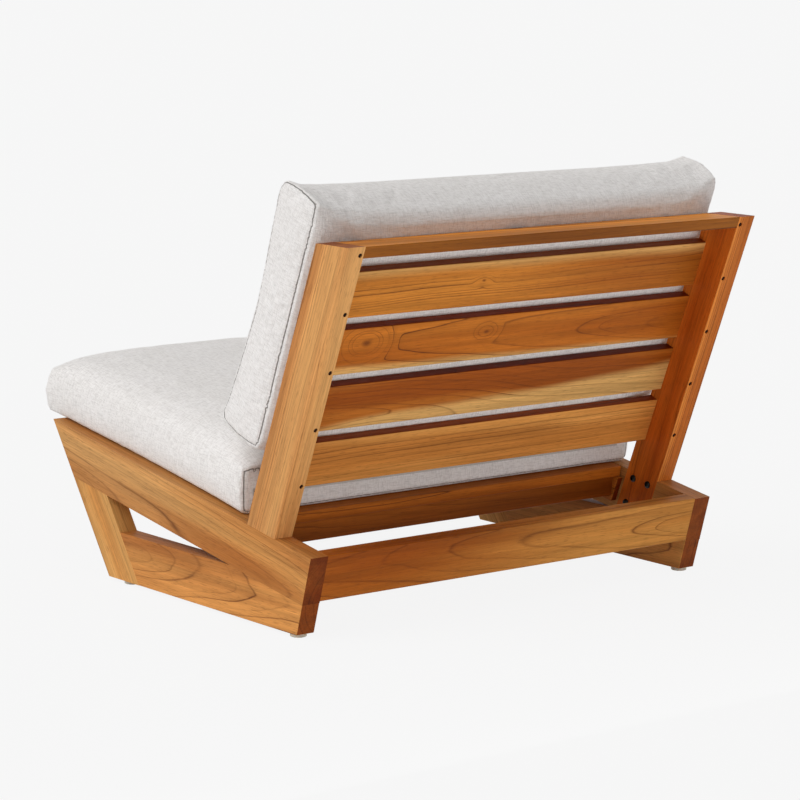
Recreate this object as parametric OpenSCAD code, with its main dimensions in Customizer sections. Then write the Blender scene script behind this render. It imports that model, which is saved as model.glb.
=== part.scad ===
// Outdoor lounge chair: two mitred side frames of solid boards, a leaning slatted back, a slatted
// seat deck and two loose cushions. Millimetres, +Z up. The sitter faces -Y, and the left side is +X.
// Points of the side view are [depth, height], with depth counted from the rail's rear top corner.

/* [Chair] */
// Width over the two side frames
chair_w = 800; // [700:1:900]
// Thickness of the side frames' boards
board_t = 32; // [29:1:38]

/* [Side frame] */
// Length of the seat rail along its top edge
rail_len = 709; // [695:1:730]
// Height of the seat rail, square to its top edge
rail_h = 76; // [70:1:82]
// Height of the rail's top edge at its rear end
rail_rear_z = 127; // [123:1:135]
// Fall of the seat rail towards the rear, in degrees
rail_fall = 9; // [8:0.5:11]
// Width of the front leg, square to its length
leg_w = 70; // [62:1:78]
// Lean of the front leg, in degrees
leg_lean = 35; // [31:1:38]
// Height of the foot rail
foot_rail_h = 76; // [70:1:82]
// Lean of the side frame's rear end, in degrees
end_lean = 16; // [13:1:19]

/* [Glides] */
// Diameter of a nylon glide
glide_d = 25; // [20:1:28]
// Height of a nylon glide
glide_h = 6; // [4:0.5:8]

/* [Back frame] */
// Lean of the back, in degrees
post_lean = 21.5; // [20:0.5:24]
// Depth of a back post, square to its length
post_depth = 70; // [64:1:76]
// Rail's rear top corner to the post's rear edge, along the rail
post_setback = 91; // [86:1:98]
// Height of the post tops
post_top_z = 588; // [580:1:610]
// Number of back slats
back_slat_count = 4; // [3:1:4]
// Height of a back slat
back_slat_h = 76; // [70:1:78]
// Thickness of a back slat
back_slat_t = 18; // [16:1:21]
// Gap between back slats
back_slat_gap = 19; // [15:1:21]
// Seat rail to the lowest back slat, along the post's front edge
back_slat_lift = 64; // [60:1:68]
// Thickness of the top rail
top_rail_t = 18; // [16:1:21]

/* [Crossbar] */
// Thickness of the rear crossbar
crossbar_t = 27; // [24:1:30]
// Height of the rear crossbar along its rear face
crossbar_h = 75; // [64:1:76]

/* [Seat deck] */
// Least gap between seat slats
seat_slat_min_gap = 12; // [8:1:14]
// Width of a seat slat
seat_slat_w = 60; // [52:1:64]
// Thickness of a seat slat
seat_slat_t = 18; // [16:1:20]
// Thickness of a ledger
ledger_t = 12; // [11:1:16]
// Height of a ledger
ledger_h = 43; // [41:1:48]
// Height of the beams under the deck's ends
beam_h = 34; // [30:1:38]
// Thickness of the beams under the deck's ends
beam_t = 22; // [18:1:26]

/* [Seat cushion] */
// Side frame's outer face to the cushion's side
seat_side_inset = 20; // [16:1:28]
// Post's front edge to the cushion's rear seam, along the rail
seat_rear_gap = 30; // [28:1:42]
// Cushion's front seam beyond the rail's tip, along the rail
seat_overhang = 55; // [40:1:60]
// Height of the cushion's side panel
seat_boxing = 70; // [66:1:76]
// Rise of the cushion's top above its side panel
seat_crown = 46; // [40:1:52]

/* [Back cushion] */
// Side frame's outer face to the cushion's end seam
back_side_inset = 7; // [5:1:16]
// Seat rail to the cushion's lower seam, along the post's front edge
back_seam_low = 111; // [106:1:114]
// Seat rail to the cushion's top corners, along the post's front edge
back_seam_top = 518; // [505:1:530]
// Width of the cushion's end panel
back_boxing = 77; // [70:1:84]
// Rise of the cushion's front above its end panel
back_crown = 27; // [20:1:32]

/* [Hidden] */
$fn = 48;
// Clearances: a tenon in its mortise, a round piece in its hole, and soft pieces off their neighbours
mortise_play = 0.2;
hole_play = 0.1;
soft_gap = 0.3;
// How far a cutter passes the face that it cuts
overrun = 1;

// Colours
teak = "#B87A3D";
beech = "#D9B98A";
fabric = "#D3CEC8";
foam = "#E8E2B8";
black_steel = "#232323";
zinc = "#9A9A96";
nylon = "#D8D2C8";

// Boards seen from the side
half_w = chair_w / 2;
inner_x = half_w - board_t;
board_mid_x = half_w - board_t / 2;
rail_dir = [cos(rail_fall), -sin(rail_fall)];
rail_up = [sin(rail_fall), cos(rail_fall)];
leg_dir = [sin(leg_lean), -cos(leg_lean)];
end_dir = [-sin(end_lean), -cos(end_lean)];
end_forward = [-cos(end_lean), sin(end_lean)];
post_dir = [sin(post_lean), cos(post_lean)];
post_forward = [-cos(post_lean), sin(post_lean)];
leg_to_rail = leg_lean + rail_fall;
post_to_rail = post_lean - rail_fall;
end_to_rail = end_lean - rail_fall;

// A point s forward of the rail's rear top corner, along the rail, and h above the rail's top
function on_rail(s, h) = [0, rail_rear_z] - s * rail_dir + h * rail_up;

rail_rear_top = on_rail(0, 0);
rail_tip = on_rail(rail_len, 0);
rail_tip_low = rail_tip + rail_h / cos(leg_to_rail) * leg_dir;
rail_rear_low = rail_rear_top + rail_h / cos(end_to_rail) * end_dir;
leg_seam_rear = rail_tip_low + leg_w / cos(leg_to_rail) * rail_dir;
leg_toe = rail_tip + (rail_tip[1] - glide_h) / cos(leg_lean) * leg_dir;
leg_heel = leg_toe + [leg_w / cos(leg_lean), 0];
foot_seam_top = leg_heel - foot_rail_h / cos(leg_lean) * leg_dir;
foot_rear = rail_rear_top + (rail_rear_z - glide_h) / cos(end_lean) * end_dir;
foot_top_rear = rail_rear_low - (glide_h + foot_rail_h - rail_rear_low[1]) / sin(rail_fall) * rail_dir;

// The post's foot on the rail, and a point a up along the post's front edge and d forward of it
post_front_s = post_setback + post_depth / cos(post_to_rail);
post_rear_foot = on_rail(post_setback, 0);
post_front_foot = on_rail(post_front_s, 0);
function on_post(a, d) = post_front_foot + a * post_dir + d * post_forward;
function post_front_at(z) = post_front_foot + (z - post_front_foot[1]) / cos(post_lean) * post_dir;
function post_rear_at(z) = post_rear_foot + (z - post_rear_foot[1]) / cos(post_lean) * post_dir;
tongue_drop = rail_h / cos(post_to_rail);

// Where the lines of the rail's tip and of the post's front edge lie at a height h on the rail
function tip_s(h) = rail_len + h * tan(leg_to_rail);
function post_s(h) = post_front_s - h * tan(post_to_rail);

// Joinery
dowel_d = 10;
dowel_len = 50;
short_dowel_len = 40;
leg_dowel_shares = [0.28, 0.72];
foot_dowel_shares = [0.3, 0.7];
rear_dowel_shares = [0.25, 0.45];
crossbar_dowel_shares = [0.27, 0.73];
tenon_len = 14;
slat_tenon_h = 56;
slat_tenon_t = 10;
top_tenon_t = 12;
top_tenon_inset = 8;
slat_pin_d = 5;
slat_pin_len = 68;
top_pin_len = 18;
top_pin_drop = 14;
pin_edge = 6;
bolt_d = 6;
bolt_head_d = 12;
bolt_head_h = 4;
bolt_socket = 4;
bolt_socket_deep = 2;
bolt_column = 17;
bolt_rows = [12, 57];
bolt_tip_room = 1;
insert_d = 10;
insert_len = 12;
screw_d = 4;
screw_head_d = 8;
screw_head_h = 2.4;
slat_screw_len = 35;
ledger_screw_len = 30;
beam_screw_len = 45;
ledger_screw_shares = [0.12, 0.4, 0.66];
beam_screw_shares = [0.28, 0.72];
glide_pin_d = 4;
glide_pin_len = 16;
glide_rim = 1;
rear_glide_in = 17;

// Seat deck
deck_tip_inset = 30;
deck_rear_gap = 14;
deck_side_gap = 1;
ledger_tip_inset = 20;
ledger_post_gap = 4;
beam_inset = 5;
ledger_x = inner_x - ledger_t;
deck_front_s = rail_len - deck_tip_inset;
deck_rear_s = post_front_s + deck_rear_gap;
deck_len = deck_front_s - deck_rear_s;
seat_slat_count = floor((deck_len + seat_slat_min_gap) / (seat_slat_w + seat_slat_min_gap));
seat_slat_pitch = (deck_len - seat_slat_w) / (seat_slat_count - 1);
function seat_slat_s(i) = deck_front_s - seat_slat_w / 2 - (i - 1) * seat_slat_pitch;
rear_beam_s = deck_rear_s + beam_inset;
front_beam_s = deck_front_s - seat_slat_w + beam_inset;

// Back slats are counted from the top
function back_slat_a(i) =
    back_slat_lift + back_slat_h / 2 + (back_slat_count - i) * (back_slat_h + back_slat_gap);

// Cushions. Both are crowned boxes: rings of points from one panel round the side to the other.
// A ring is [size share, inset, level, crown share]; its points follow a loop of unit squares.
side_step_count = 16;
loop_step_count = 4 * side_step_count;
crown_power_share = 6;
crown_root_share = 0.6;
function crown_share(u) = pow(max(0, 1 - pow(abs(u), crown_power_share)), crown_root_share);
function loop_point(i) =
    let (side = floor(i / side_step_count), c = -cos(180 * (i % side_step_count) / side_step_count))
    [[c, -1], [1, c], [-c, 1], [-1, -c]][side];
function rounded(q, ru, rv) =
    abs(q[1]) == 1 && abs(q[0]) > 1 - ru
        ? let (turn = 45 + 45 * (1 - abs(q[0])) / ru)
          [sign(q[0]) * (1 - ru + ru * cos(turn)), sign(q[1]) * (1 - rv + rv * sin(turn))]
    : abs(q[0]) == 1 && abs(q[1]) > 1 - rv
        ? let (turn = 45 - 45 * (1 - abs(q[1])) / rv)
          [sign(q[0]) * (1 - ru + ru * cos(turn)), sign(q[1]) * (1 - rv + rv * sin(turn))]
    : q;
function cushion_faces(rings) =
    let (n = loop_step_count, top = 1 + rings * n)
    concat(
        [for (i = [0 : n - 1]) [0, 1 + i, 1 + (i + 1) % n]],
        [for (r = [0 : rings - 2]) for (i = [0 : n - 1])
            let (j = (i + 1) % n, low = 1 + r * n, high = low + n) each
            [[low + i, high + j, low + j], [low + i, high + i, high + j]]],
        [for (i = [0 : n - 1]) [top, top - n + (i + 1) % n, top - n + i]]);
panel_shares = [0.35, 0.6, 0.78, 0.9];
edge_insets = [14, 6, 2];

// Where the back cushion bears on the seat cushion: a plane square to the back
bearing_a = 82;
function bearing_h(s) = (bearing_a + (s - post_front_s) * sin(post_to_rail)) / cos(post_to_rail);

// Seat cushion: u runs across it, v from its front to its rear
seat_half_w = half_w - seat_side_inset;
seat_rear_s = post_front_s + seat_rear_gap;
seat_front_s = rail_len + seat_overhang;
seat_half_l = (seat_front_s - seat_rear_s) / 2;
seat_mid_s = (seat_front_s + seat_rear_s) / 2;
seat_pull = 5;
seat_bulge = 6;
seat_edge_r = 8;
seat_front_flare = 8;
seat_front_corner_r = 28;
seat_rear_corner_r = 12;
seat_rear_lean = 8;
seat_base_share = 0.5;
seat_side_shares = [0.5, 0.78];
seat_rings = concat(
    [[seat_base_share, 0, 0, 0]],
    [for (turn = [0 : 30 : 90]) [1, seat_edge_r * (1 - sin(turn)), seat_edge_r * (1 - cos(turn)), 0]],
    [for (share = seat_side_shares) [1, 0, share * seat_boxing, 0]],
    [[1, 0, seat_boxing, 1]],
    [for (i = [len(edge_insets) - 1 : -1 : 0]) [1, edge_insets[i], seat_boxing, 1]],
    [for (i = [len(panel_shares) - 1 : -1 : 0]) [panel_shares[i], 0, seat_boxing, 1]]);
function seat_point(q, ring) =
    let (r = q[1] > 0 ? seat_rear_corner_r : seat_front_corner_r,
         plan = rounded(q, r / seat_half_w, r / seat_half_l),
         ku = ring[0] * (1 - ring[1] / seat_half_w),
         kv = ring[0] * (1 - ring[1] / seat_half_l),
         u = plan[0] * ku,
         v = plan[1] * kv,
         swell = seat_bulge * sin(180 * ring[2] / seat_boxing),
         drawn = seat_pull * (1 - u * u),
         x = u * (seat_half_w - seat_pull * (1 - v * v) + seat_front_flare * (1 - v) / 2 + swell),
         s = seat_mid_s - v * seat_half_l - (v < 0 ? v * (swell - drawn) : 0)
             + tan(seat_rear_lean) * ring[2] * (1 + v) / 2,
         h = ring[2] + ring[3] * seat_crown * crown_share(q[0] * ku) * crown_share(q[1] * kv),
         p = on_rail(s, min(soft_gap + h, bearing_h(s))))
    [x, p[0], p[1]];
seat_points = concat(
    [seat_point([0, 0], [0, 0, 0, 0])],
    [for (ring = seat_rings) for (i = [0 : loop_step_count - 1]) seat_point(loop_point(i), ring)],
    [seat_point([0, 0], [0, 0, seat_boxing, 1])]);

// Back cushion: u runs across it, v up it, and its level from the rear panel to the front
back_half_w = half_w - back_side_inset;
back_half_a = (back_seam_top - back_seam_low) / 2;
back_mid_a = (back_seam_top + back_seam_low) / 2;
back_rear_d = 29;
back_rear_crown = 45;
back_crown_low_share = 0.25;
back_front_flare = 20;
back_flare_power_share = 1.5;
back_end_bulge = 4;
back_top_dish = 14;
back_top_bulge = 6;
back_low_sag = 8;
back_low_bulge = 22;
back_corner_r = 10;
back_side_shares = [0.2, 0.5, 0.8];
back_rings = concat(
    [for (share = panel_shares) [share, 0, 0, -1]],
    [for (inset = edge_insets) [1, inset, 0, -1]],
    [[1, 0, 0, 0]],
    [for (share = back_side_shares) [1, 0, share, 0]],
    [[1, 0, 1, 0]],
    [for (i = [len(edge_insets) - 1 : -1 : 0]) [1, edge_insets[i], 1, 1]],
    [for (i = [len(panel_shares) - 1 : -1 : 0]) [panel_shares[i], 0, 1, 1]]);
function back_point(q, ring) =
    let (plan = rounded(q, back_corner_r / back_half_w, back_corner_r / back_half_a),
         ku = ring[0] * (1 - ring[1] / back_half_w),
         kv = ring[0] * (1 - ring[1] / back_half_a),
         u = plan[0] * ku,
         v = plan[1] * kv,
         swell = sin(180 * ring[2]),
         x = u * (back_half_w + back_end_bulge * swell),
         rise = v > 0 ? back_top_bulge * swell - back_top_dish * crown_share(u)
             : crown_share(u) * (back_low_sag + back_low_bulge * crown_share(2 * ring[2] - 1)),
         a = back_mid_a + v * (back_half_a + rise),
         puff = crown_share(q[0] * ku) * crown_share(q[1] * kv)
             * (ring[3] > 0 ? back_crown * (1 - back_crown_low_share * v) : back_rear_crown),
         flare = back_front_flare * pow(abs(v), back_flare_power_share) * (v > 0 ? crown_share(v) : 1),
         d = back_rear_d + ring[2] * (back_boxing + flare) + ring[3] * puff,
         p = on_post(max(a, bearing_a + soft_gap), max(d, soft_gap)))
    [x, p[0], p[1]];
back_points = concat(
    [back_point([0, 0], [0, 0, 0, -1])],
    [for (ring = back_rings) for (i = [0 : loop_step_count - 1]) back_point(loop_point(i), ring)],
    [back_point([0, 0], [0, 0, 1, 1])]);

// Foam cores inside the padded covers
core_inset = 18;
core_skin = 8;

// Zipper on the seat cushion's rear panel
zip_level = seat_boxing / 2;
zip_tape_h = 11;
zip_tape_t = 1.2;
zip_teeth_h = 4;
zip_teeth_t = 0.8;
zip_half_len = seat_half_w - seat_rear_corner_r;
slider_len = 13;
slider_h = 8;
slider_t = 1.6;
slider_end_gap = 2;
slider_x = zip_half_len - slider_end_gap - slider_len / 2;
slider_out = soft_gap + zip_tape_t + zip_teeth_t + soft_gap;
slider_ear_h = 1.4;
slider_ear_len = 4;
pull_rise = 2.8;
pull_pin_d = 1.6;
pull_eye_d = 4;
pull_len = 20;
pull_t = 1.2;
pull_end_gap = 0.3;
zip_place = on_rail(seat_rear_s + tan(seat_rear_lean) * zip_level, soft_gap + zip_level);

// The middle of the whole chair, from the seat cushion's front to the post tops
front_depth = min([for (p = seat_points) p[1]]);
rear_depth = post_rear_at(post_top_z)[0];
mid_depth = (front_depth + rear_depth) / 2;

// Every node's name
SIDES = ["left", "right"];
SIDE_BOARDS = ["seat_rail", "front_leg", "foot_rail", "back_post", "seat_ledger", "frame_dowels"];
SINGLE_NODES = ["back_top_rail", "rear_crossbar", "seat_front_beam", "seat_rear_beam", "crossbar_dowels",
    "slat_pins", "top_rail_pins", "post_bolts", "threaded_inserts", "seat_slat_screws", "ledger_screws",
    "beam_screws", "seat_cushion", "seat_foam_core", "back_cushion", "back_foam_core", "zip_tape",
    "zip_slider", "zip_pull"];

// Puts a left side's solid in the chair's frame, or mirrors it for the right side
module place(side) {
    translate([0, -mid_depth, 0])
        mirror([side == "right" ? 1 : 0, 0, 0])
            children();
}

// A board whose side view is given, from x0 outwards
module board(points, x0, thick) {
    translate([x0, 0, 0])
        rotate([90, 0, 90])
            linear_extrude(thick)
                polygon(points);
}

// A board that runs across the chair, reaching reach each side of its middle
module cross_board(points, reach) {
    translate([0, -mid_depth, 0])
        board(points, -reach, 2 * reach);
}

// Stands children's +Z along a direction of the side view, at a point of it
module aim(p, dir, x) {
    translate([x, p[0], p[1]])
        rotate([atan2(-dir[0], dir[1]), 0, 0])
            children();
}

// Lays children's +Z along +X, at a point of the side view
module aim_out(p, x) {
    translate([x, p[0], p[1]])
        rotate([0, 90, 0])
            children();
}

// A parallelogram on the rail from s0 to s1 and from h0 up to h1
function rail_box(s0, s1, h0, h1) = [on_rail(s0, h0), on_rail(s1, h0), on_rail(s1, h1), on_rail(s0, h1)];

// A round piece or, with play all round and at its start, the bore that it goes in
module rod(d, len, play = 0) {
    translate([0, 0, -play])
        cylinder(d = d + 2 * play, h = len + 2 * play);
}

module leg_dowels(play = 0) {
    for (share = leg_dowel_shares)
        aim(rail_tip_low + share * (leg_seam_rear - rail_tip_low) - dowel_len / 2 * leg_dir, leg_dir,
            board_mid_x)
            rod(dowel_d, dowel_len, play);
}

module foot_dowels(play = 0) {
    for (share = foot_dowel_shares)
        aim(leg_heel + share * (foot_seam_top - leg_heel) - [short_dowel_len / 2, 0], [1, 0],
            board_mid_x)
            rod(dowel_d, short_dowel_len, play);
}

module rear_dowels(play = 0) {
    for (share = rear_dowel_shares)
        aim(rail_rear_low + share * (foot_top_rear - rail_rear_low) + short_dowel_len / 2 * rail_up,
            -rail_up, board_mid_x)
            rod(dowel_d, short_dowel_len, play);
}

module crossbar_end_dowels(play = 0) {
    for (share = crossbar_dowel_shares)
        aim_out(rail_rear_top + share * crossbar_h * end_dir + crossbar_t / 2 * end_forward,
            inner_x - short_dowel_len / 2)
            rod(dowel_d, short_dowel_len, play);
}

// Places of the four bolts through each post's lap
module at_post_bolts() {
    centre = (post_front_foot + post_rear_foot) / 2;
    for (column = [-bolt_column, bolt_column])
        for (row = bolt_rows)
            aim_out(centre + column / cos(post_to_rail) * rail_dir - row / cos(post_to_rail) * post_dir,
                inner_x)
                children();
}

module at_slat_pins() {
    for (i = [1 : back_slat_count])
        aim(on_post(back_slat_a(i), -post_depth), post_forward, inner_x + pin_edge)
            children();
}

module at_top_pin() {
    aim(post_rear_at(post_top_z) - top_pin_drop * post_dir, post_forward, inner_x + pin_edge)
        children();
}

// A countersunk wood screw or, with play, its hole
module screw(len, play = 0) {
    union() {
        cylinder(d = screw_d + 2 * play, h = len + play);
        translate([0, 0, -play])
            cylinder(d1 = screw_head_d + 2 * play, d2 = screw_d + 2 * play, h = screw_head_h + play);
    }
}

function ledger_s(share) =
    let (h = -seat_slat_t - ledger_h / 2, rear = post_s(h) + ledger_post_gap)
    rear + share * (tip_s(h) - ledger_tip_inset - rear);

module at_ledger_screws() {
    for (share = ledger_screw_shares)
        aim_out(on_rail(ledger_s(share), -seat_slat_t - ledger_h / 2), ledger_x)
            children();
}

// Beam screws run inwards from the ledger's outer face
module at_beam_screws(beam_s) {
    for (share = beam_screw_shares)
        aim_out(on_rail(beam_s + beam_t / 2, -seat_slat_t - share * beam_h), inner_x)
            rotate([180, 0, 0])
                children();
}

module at_slat_screw(i) {
    aim(on_rail(seat_slat_s(i), 0), -rail_up, ledger_x + ledger_t / 2)
        children();
}

module at_glide_pin(p) {
    aim([p[0], glide_h], [0, 1], board_mid_x)
        children();
}

module at_front_glide() {
    at_glide_pin((leg_toe + leg_heel) / 2)
        children();
}

module at_rear_glide() {
    at_glide_pin(foot_rear - [rear_glide_in, 0])
        children();
}

function post_outline(drop, rise = 0) = [
    post_front_foot - drop * post_dir,
    post_rear_foot - drop * post_dir,
    post_rear_foot + rise * post_dir,
    post_front_foot + rise * post_dir];

// Sloping board that carries the seat deck; the post's tongue fills the pocket in its inner face
module seat_rail(side) {
    color(teak)
        place(side)
            difference() {
                board([rail_tip, rail_tip_low, rail_rear_low, rail_rear_top], inner_x, board_t);
                board(post_outline(tongue_drop + overrun, overrun), inner_x - overrun,
                    board_t / 2 + overrun);
                leg_dowels(hole_play);
                rear_dowels(hole_play);
                crossbar_end_dowels(hole_play);
                at_post_bolts()
                    rod(insert_d, board_t / 2 + insert_len, hole_play);
                at_ledger_screws()
                    screw(ledger_screw_len, hole_play);
            }
}

// Leaning leg under the rail's tip, its front edge in line with the tip's cut
module front_leg(side) {
    color(teak)
        place(side)
            difference() {
                board([rail_tip_low, leg_toe, leg_heel, leg_seam_rear], inner_x, board_t);
                leg_dowels(hole_play);
                foot_dowels(hole_play);
                at_front_glide()
                    rod(glide_pin_d, glide_pin_len, hole_play);
            }
}

// Board along the ground from the leg back to the rail's underside
module foot_rail(side) {
    color(teak)
        place(side)
            difference() {
                board([foot_seam_top, leg_heel, foot_rear, rail_rear_low, foot_top_rear], inner_x, board_t);
                foot_dowels(hole_play);
                rear_dowels(hole_play);
                at_rear_glide()
                    rod(glide_pin_d, glide_pin_len, hole_play);
            }
}

function slat_outline(i, high, thick) =
    let (a = back_slat_a(i), d = -back_slat_t / 2)
    [on_post(a - high / 2, d + thick / 2), on_post(a - high / 2, d - thick / 2),
     on_post(a + high / 2, d - thick / 2), on_post(a + high / 2, d + thick / 2)];

function top_outline(down, up, inset) = [
    post_front_at(post_top_z - down) + [inset, 0],
    post_rear_at(post_top_z - down) - [inset, 0],
    post_rear_at(post_top_z - up) - [inset, 0],
    post_front_at(post_top_z - up) + [inset, 0]];

function top_tenon_outline(play) =
    top_outline((top_rail_t + top_tenon_t) / 2 + play, (top_rail_t - top_tenon_t) / 2 - play,
        top_tenon_inset - play);

// Leaning post, mortised for the slats; its lower end is a tongue half as thick, let into the rail
module back_post(side) {
    color(teak)
        place(side)
            difference() {
                union() {
                    board([post_front_foot, post_rear_foot, post_rear_at(post_top_z),
                        post_front_at(post_top_z)], inner_x, board_t);
                    board(post_outline(tongue_drop), inner_x, board_t / 2);
                }
                for (i = [1 : back_slat_count])
                    board(slat_outline(i, slat_tenon_h + 2 * mortise_play, slat_tenon_t + 2 * mortise_play),
                        inner_x - overrun, tenon_len + mortise_play + overrun);
                board(top_tenon_outline(mortise_play), inner_x - overrun,
                    tenon_len + mortise_play + overrun);
                at_slat_pins()
                    rod(slat_pin_d, slat_pin_len, hole_play);
                at_top_pin()
                    rod(slat_pin_d, top_pin_len, hole_play);
                at_post_bolts()
                    rod(bolt_d, board_t, hole_play);
            }
}

// Flat rail between the post tops, tenoned into them
module back_top_rail() {
    color(teak)
        difference() {
            union() {
                cross_board(top_outline(top_rail_t, 0, 0), inner_x);
                cross_board(top_tenon_outline(0), inner_x + tenon_len);
            }
            for (side = SIDES)
                place(side)
                    at_top_pin()
                        rod(slat_pin_d, top_pin_len, hole_play);
        }
}

// Back slat, flush with the posts' front edges and tenoned into them
module back_slat(i) {
    color(teak)
        difference() {
            union() {
                cross_board(slat_outline(i, back_slat_h, back_slat_t), inner_x);
                cross_board(slat_outline(i, slat_tenon_h, slat_tenon_t), inner_x + tenon_len);
            }
            for (side = SIDES)
                place(side)
                    at_slat_pins()
                        rod(slat_pin_d, slat_pin_len, hole_play);
        }
}

// Bar between the rails' rear ends, its rear face in the plane of their ends
module rear_crossbar() {
    color(teak)
        difference() {
            cross_board([
                rail_rear_top,
                rail_rear_top + crossbar_h * end_dir,
                rail_rear_top + crossbar_h * end_dir + crossbar_t * end_forward,
                rail_rear_top - crossbar_t / cos(end_to_rail) * rail_dir], inner_x);
            for (side = SIDES)
                place(side)
                    crossbar_end_dowels(hole_play);
        }
}

// Strip screwed to the rail's inner face, which the seat slats lie on
module seat_ledger(side) {
    top = -seat_slat_t;
    low = top - ledger_h;
    color(teak)
        place(side)
            difference() {
                board([
                    on_rail(post_s(top) + ledger_post_gap, top),
                    on_rail(post_s(low) + ledger_post_gap, low),
                    on_rail(tip_s(low) - ledger_tip_inset, low),
                    on_rail(tip_s(top) - ledger_tip_inset, top)], ledger_x, ledger_t);
                for (i = [1 : seat_slat_count])
                    at_slat_screw(i)
                        screw(slat_screw_len, hole_play);
                at_ledger_screws()
                    screw(ledger_screw_len, hole_play);
                for (beam_s = [front_beam_s, rear_beam_s])
                    at_beam_screws(beam_s)
                        screw(beam_screw_len, hole_play);
            }
}

// Seat slat from rail to rail, its top flush with the rails' tops
module seat_slat(i) {
    s = seat_slat_s(i);
    color(teak)
        difference() {
            cross_board(rail_box(s - seat_slat_w / 2, s + seat_slat_w / 2, -seat_slat_t, 0),
                inner_x - deck_side_gap);
            for (side = SIDES)
                place(side)
                    at_slat_screw(i)
                        screw(slat_screw_len, hole_play);
        }
}

// Beam on edge between the ledgers, under the first or the last seat slat
module seat_beam(beam_s) {
    color(teak)
        difference() {
            cross_board(rail_box(beam_s, beam_s + beam_t, -seat_slat_t - beam_h, -seat_slat_t), ledger_x);
            for (side = SIDES)
                place(side)
                    at_beam_screws(beam_s)
                        screw(beam_screw_len, hole_play);
        }
}

// Nylon button pinned under a corner of the side frame
module glide() {
    color(nylon)
        union() {
            translate([0, 0, -glide_h])
                rotate_extrude()
                    polygon([[0, 0], [glide_d / 2 - glide_rim, 0], [glide_d / 2, glide_rim],
                        [glide_d / 2, glide_h], [0, glide_h]]);
            cylinder(d = glide_pin_d, h = glide_pin_len);
        }
}

module glide_front(side) {
    place(side)
        at_front_glide()
            glide();
}

module glide_rear(side) {
    place(side)
        at_rear_glide()
            glide();
}

// Beech dowels across the side frame's seams
module frame_dowels(side) {
    color(beech)
        place(side) {
            leg_dowels();
            foot_dowels();
            rear_dowels();
        }
}

module crossbar_dowels() {
    color(beech)
        for (side = SIDES)
            place(side)
                crossbar_end_dowels();
}

// Pins that lock the slats' tenons, let in from the posts' rear edges
module slat_pins() {
    color(teak)
        for (side = SIDES)
            place(side)
                at_slat_pins()
                    rod(slat_pin_d, slat_pin_len);
}

module top_rail_pins() {
    color(teak)
        for (side = SIDES)
            place(side)
                at_top_pin()
                    rod(slat_pin_d, top_pin_len);
}

// Dome-headed socket bolt, its head on the post's inner face
module bolt() {
    dome_r = (pow(bolt_head_d / 2, 2) + pow(bolt_head_h, 2)) / (2 * bolt_head_h);
    union() {
        cylinder(d = bolt_d, h = board_t / 2 + insert_len - bolt_tip_room);
        difference() {
            intersection() {
                translate([0, 0, dome_r - bolt_head_h])
                    sphere(r = dome_r);
                translate([0, 0, -bolt_head_h])
                    cylinder(d = bolt_head_d, h = bolt_head_h);
            }
            translate([0, 0, -bolt_head_h - overrun])
                cylinder(d = bolt_socket / cos(30), h = bolt_socket_deep + overrun, $fn = 6);
        }
    }
}

module post_bolts() {
    color(black_steel)
        for (side = SIDES)
            place(side)
                at_post_bolts()
                    bolt();
}

// Sleeves in the rail that the bolts screw into
module threaded_inserts() {
    color(zinc)
        for (side = SIDES)
            place(side)
                at_post_bolts()
                    translate([0, 0, board_t / 2])
                        difference() {
                            cylinder(d = insert_d, h = insert_len);
                            translate([0, 0, -overrun])
                                cylinder(d = bolt_d + 2 * hole_play, h = insert_len + 2 * overrun);
                        }
}

module seat_slat_screws() {
    color(zinc)
        for (side = SIDES)
            place(side)
                for (i = [1 : seat_slat_count])
                    at_slat_screw(i)
                        screw(slat_screw_len);
}

module ledger_screws() {
    color(zinc)
        for (side = SIDES)
            place(side)
                at_ledger_screws()
                    screw(ledger_screw_len);
}

module beam_screws() {
    color(zinc)
        for (side = SIDES)
            place(side)
                for (beam_s = [front_beam_s, rear_beam_s])
                    at_beam_screws(beam_s)
                        screw(beam_screw_len);
}

function seat_core_outline(grow) = rail_box(
    seat_rear_s + core_inset - grow, seat_front_s - core_inset + grow,
    core_skin - grow, seat_boxing - core_skin + grow);

function back_core_outline(grow) =
    let (low = back_seam_low + core_inset - grow, top = back_seam_top - core_inset - back_top_dish + grow,
         rear = back_rear_d + core_skin - grow, front = back_rear_d + back_boxing - core_skin + grow)
    [on_post(low, rear), on_post(low, front), on_post(top, front), on_post(top, rear)];

// Padded cover of the seat cushion, flat below and pressed flat under the back cushion
module seat_cushion() {
    color(fabric)
        difference() {
            translate([0, -mid_depth, 0])
                polyhedron(seat_points, cushion_faces(len(seat_rings)));
            cross_board(seat_core_outline(soft_gap), seat_half_w - core_inset + soft_gap);
        }
}

module seat_foam_core() {
    color(foam)
        cross_board(seat_core_outline(0), seat_half_w - core_inset);
}

// Padded cover of the back cushion, flat against the slats and where it bears on the seat cushion
module back_cushion() {
    color(fabric)
        difference() {
            translate([0, -mid_depth, 0])
                polyhedron(back_points, cushion_faces(len(back_rings)));
            cross_board(back_core_outline(soft_gap), back_half_w - core_inset + soft_gap);
        }
}

module back_foam_core() {
    color(foam)
        cross_board(back_core_outline(0), back_half_w - core_inset);
}

// The zipper's place: +Y out of the rear panel, +Z up it
module on_zip() {
    translate([0, zip_place[0] - mid_depth, zip_place[1]])
        rotate([seat_rear_lean - rail_fall, 0, 0])
            children();
}

// Sewn tape with the row of teeth along its middle
module zip_tape() {
    color(black_steel)
        on_zip()
            union() {
                translate([-zip_half_len, soft_gap, -zip_tape_h / 2])
                    cube([2 * zip_half_len, zip_tape_t, zip_tape_h]);
                translate([-zip_half_len, soft_gap, -zip_teeth_h / 2])
                    cube([2 * zip_half_len, zip_tape_t + zip_teeth_t, zip_teeth_h]);
            }
}

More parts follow.
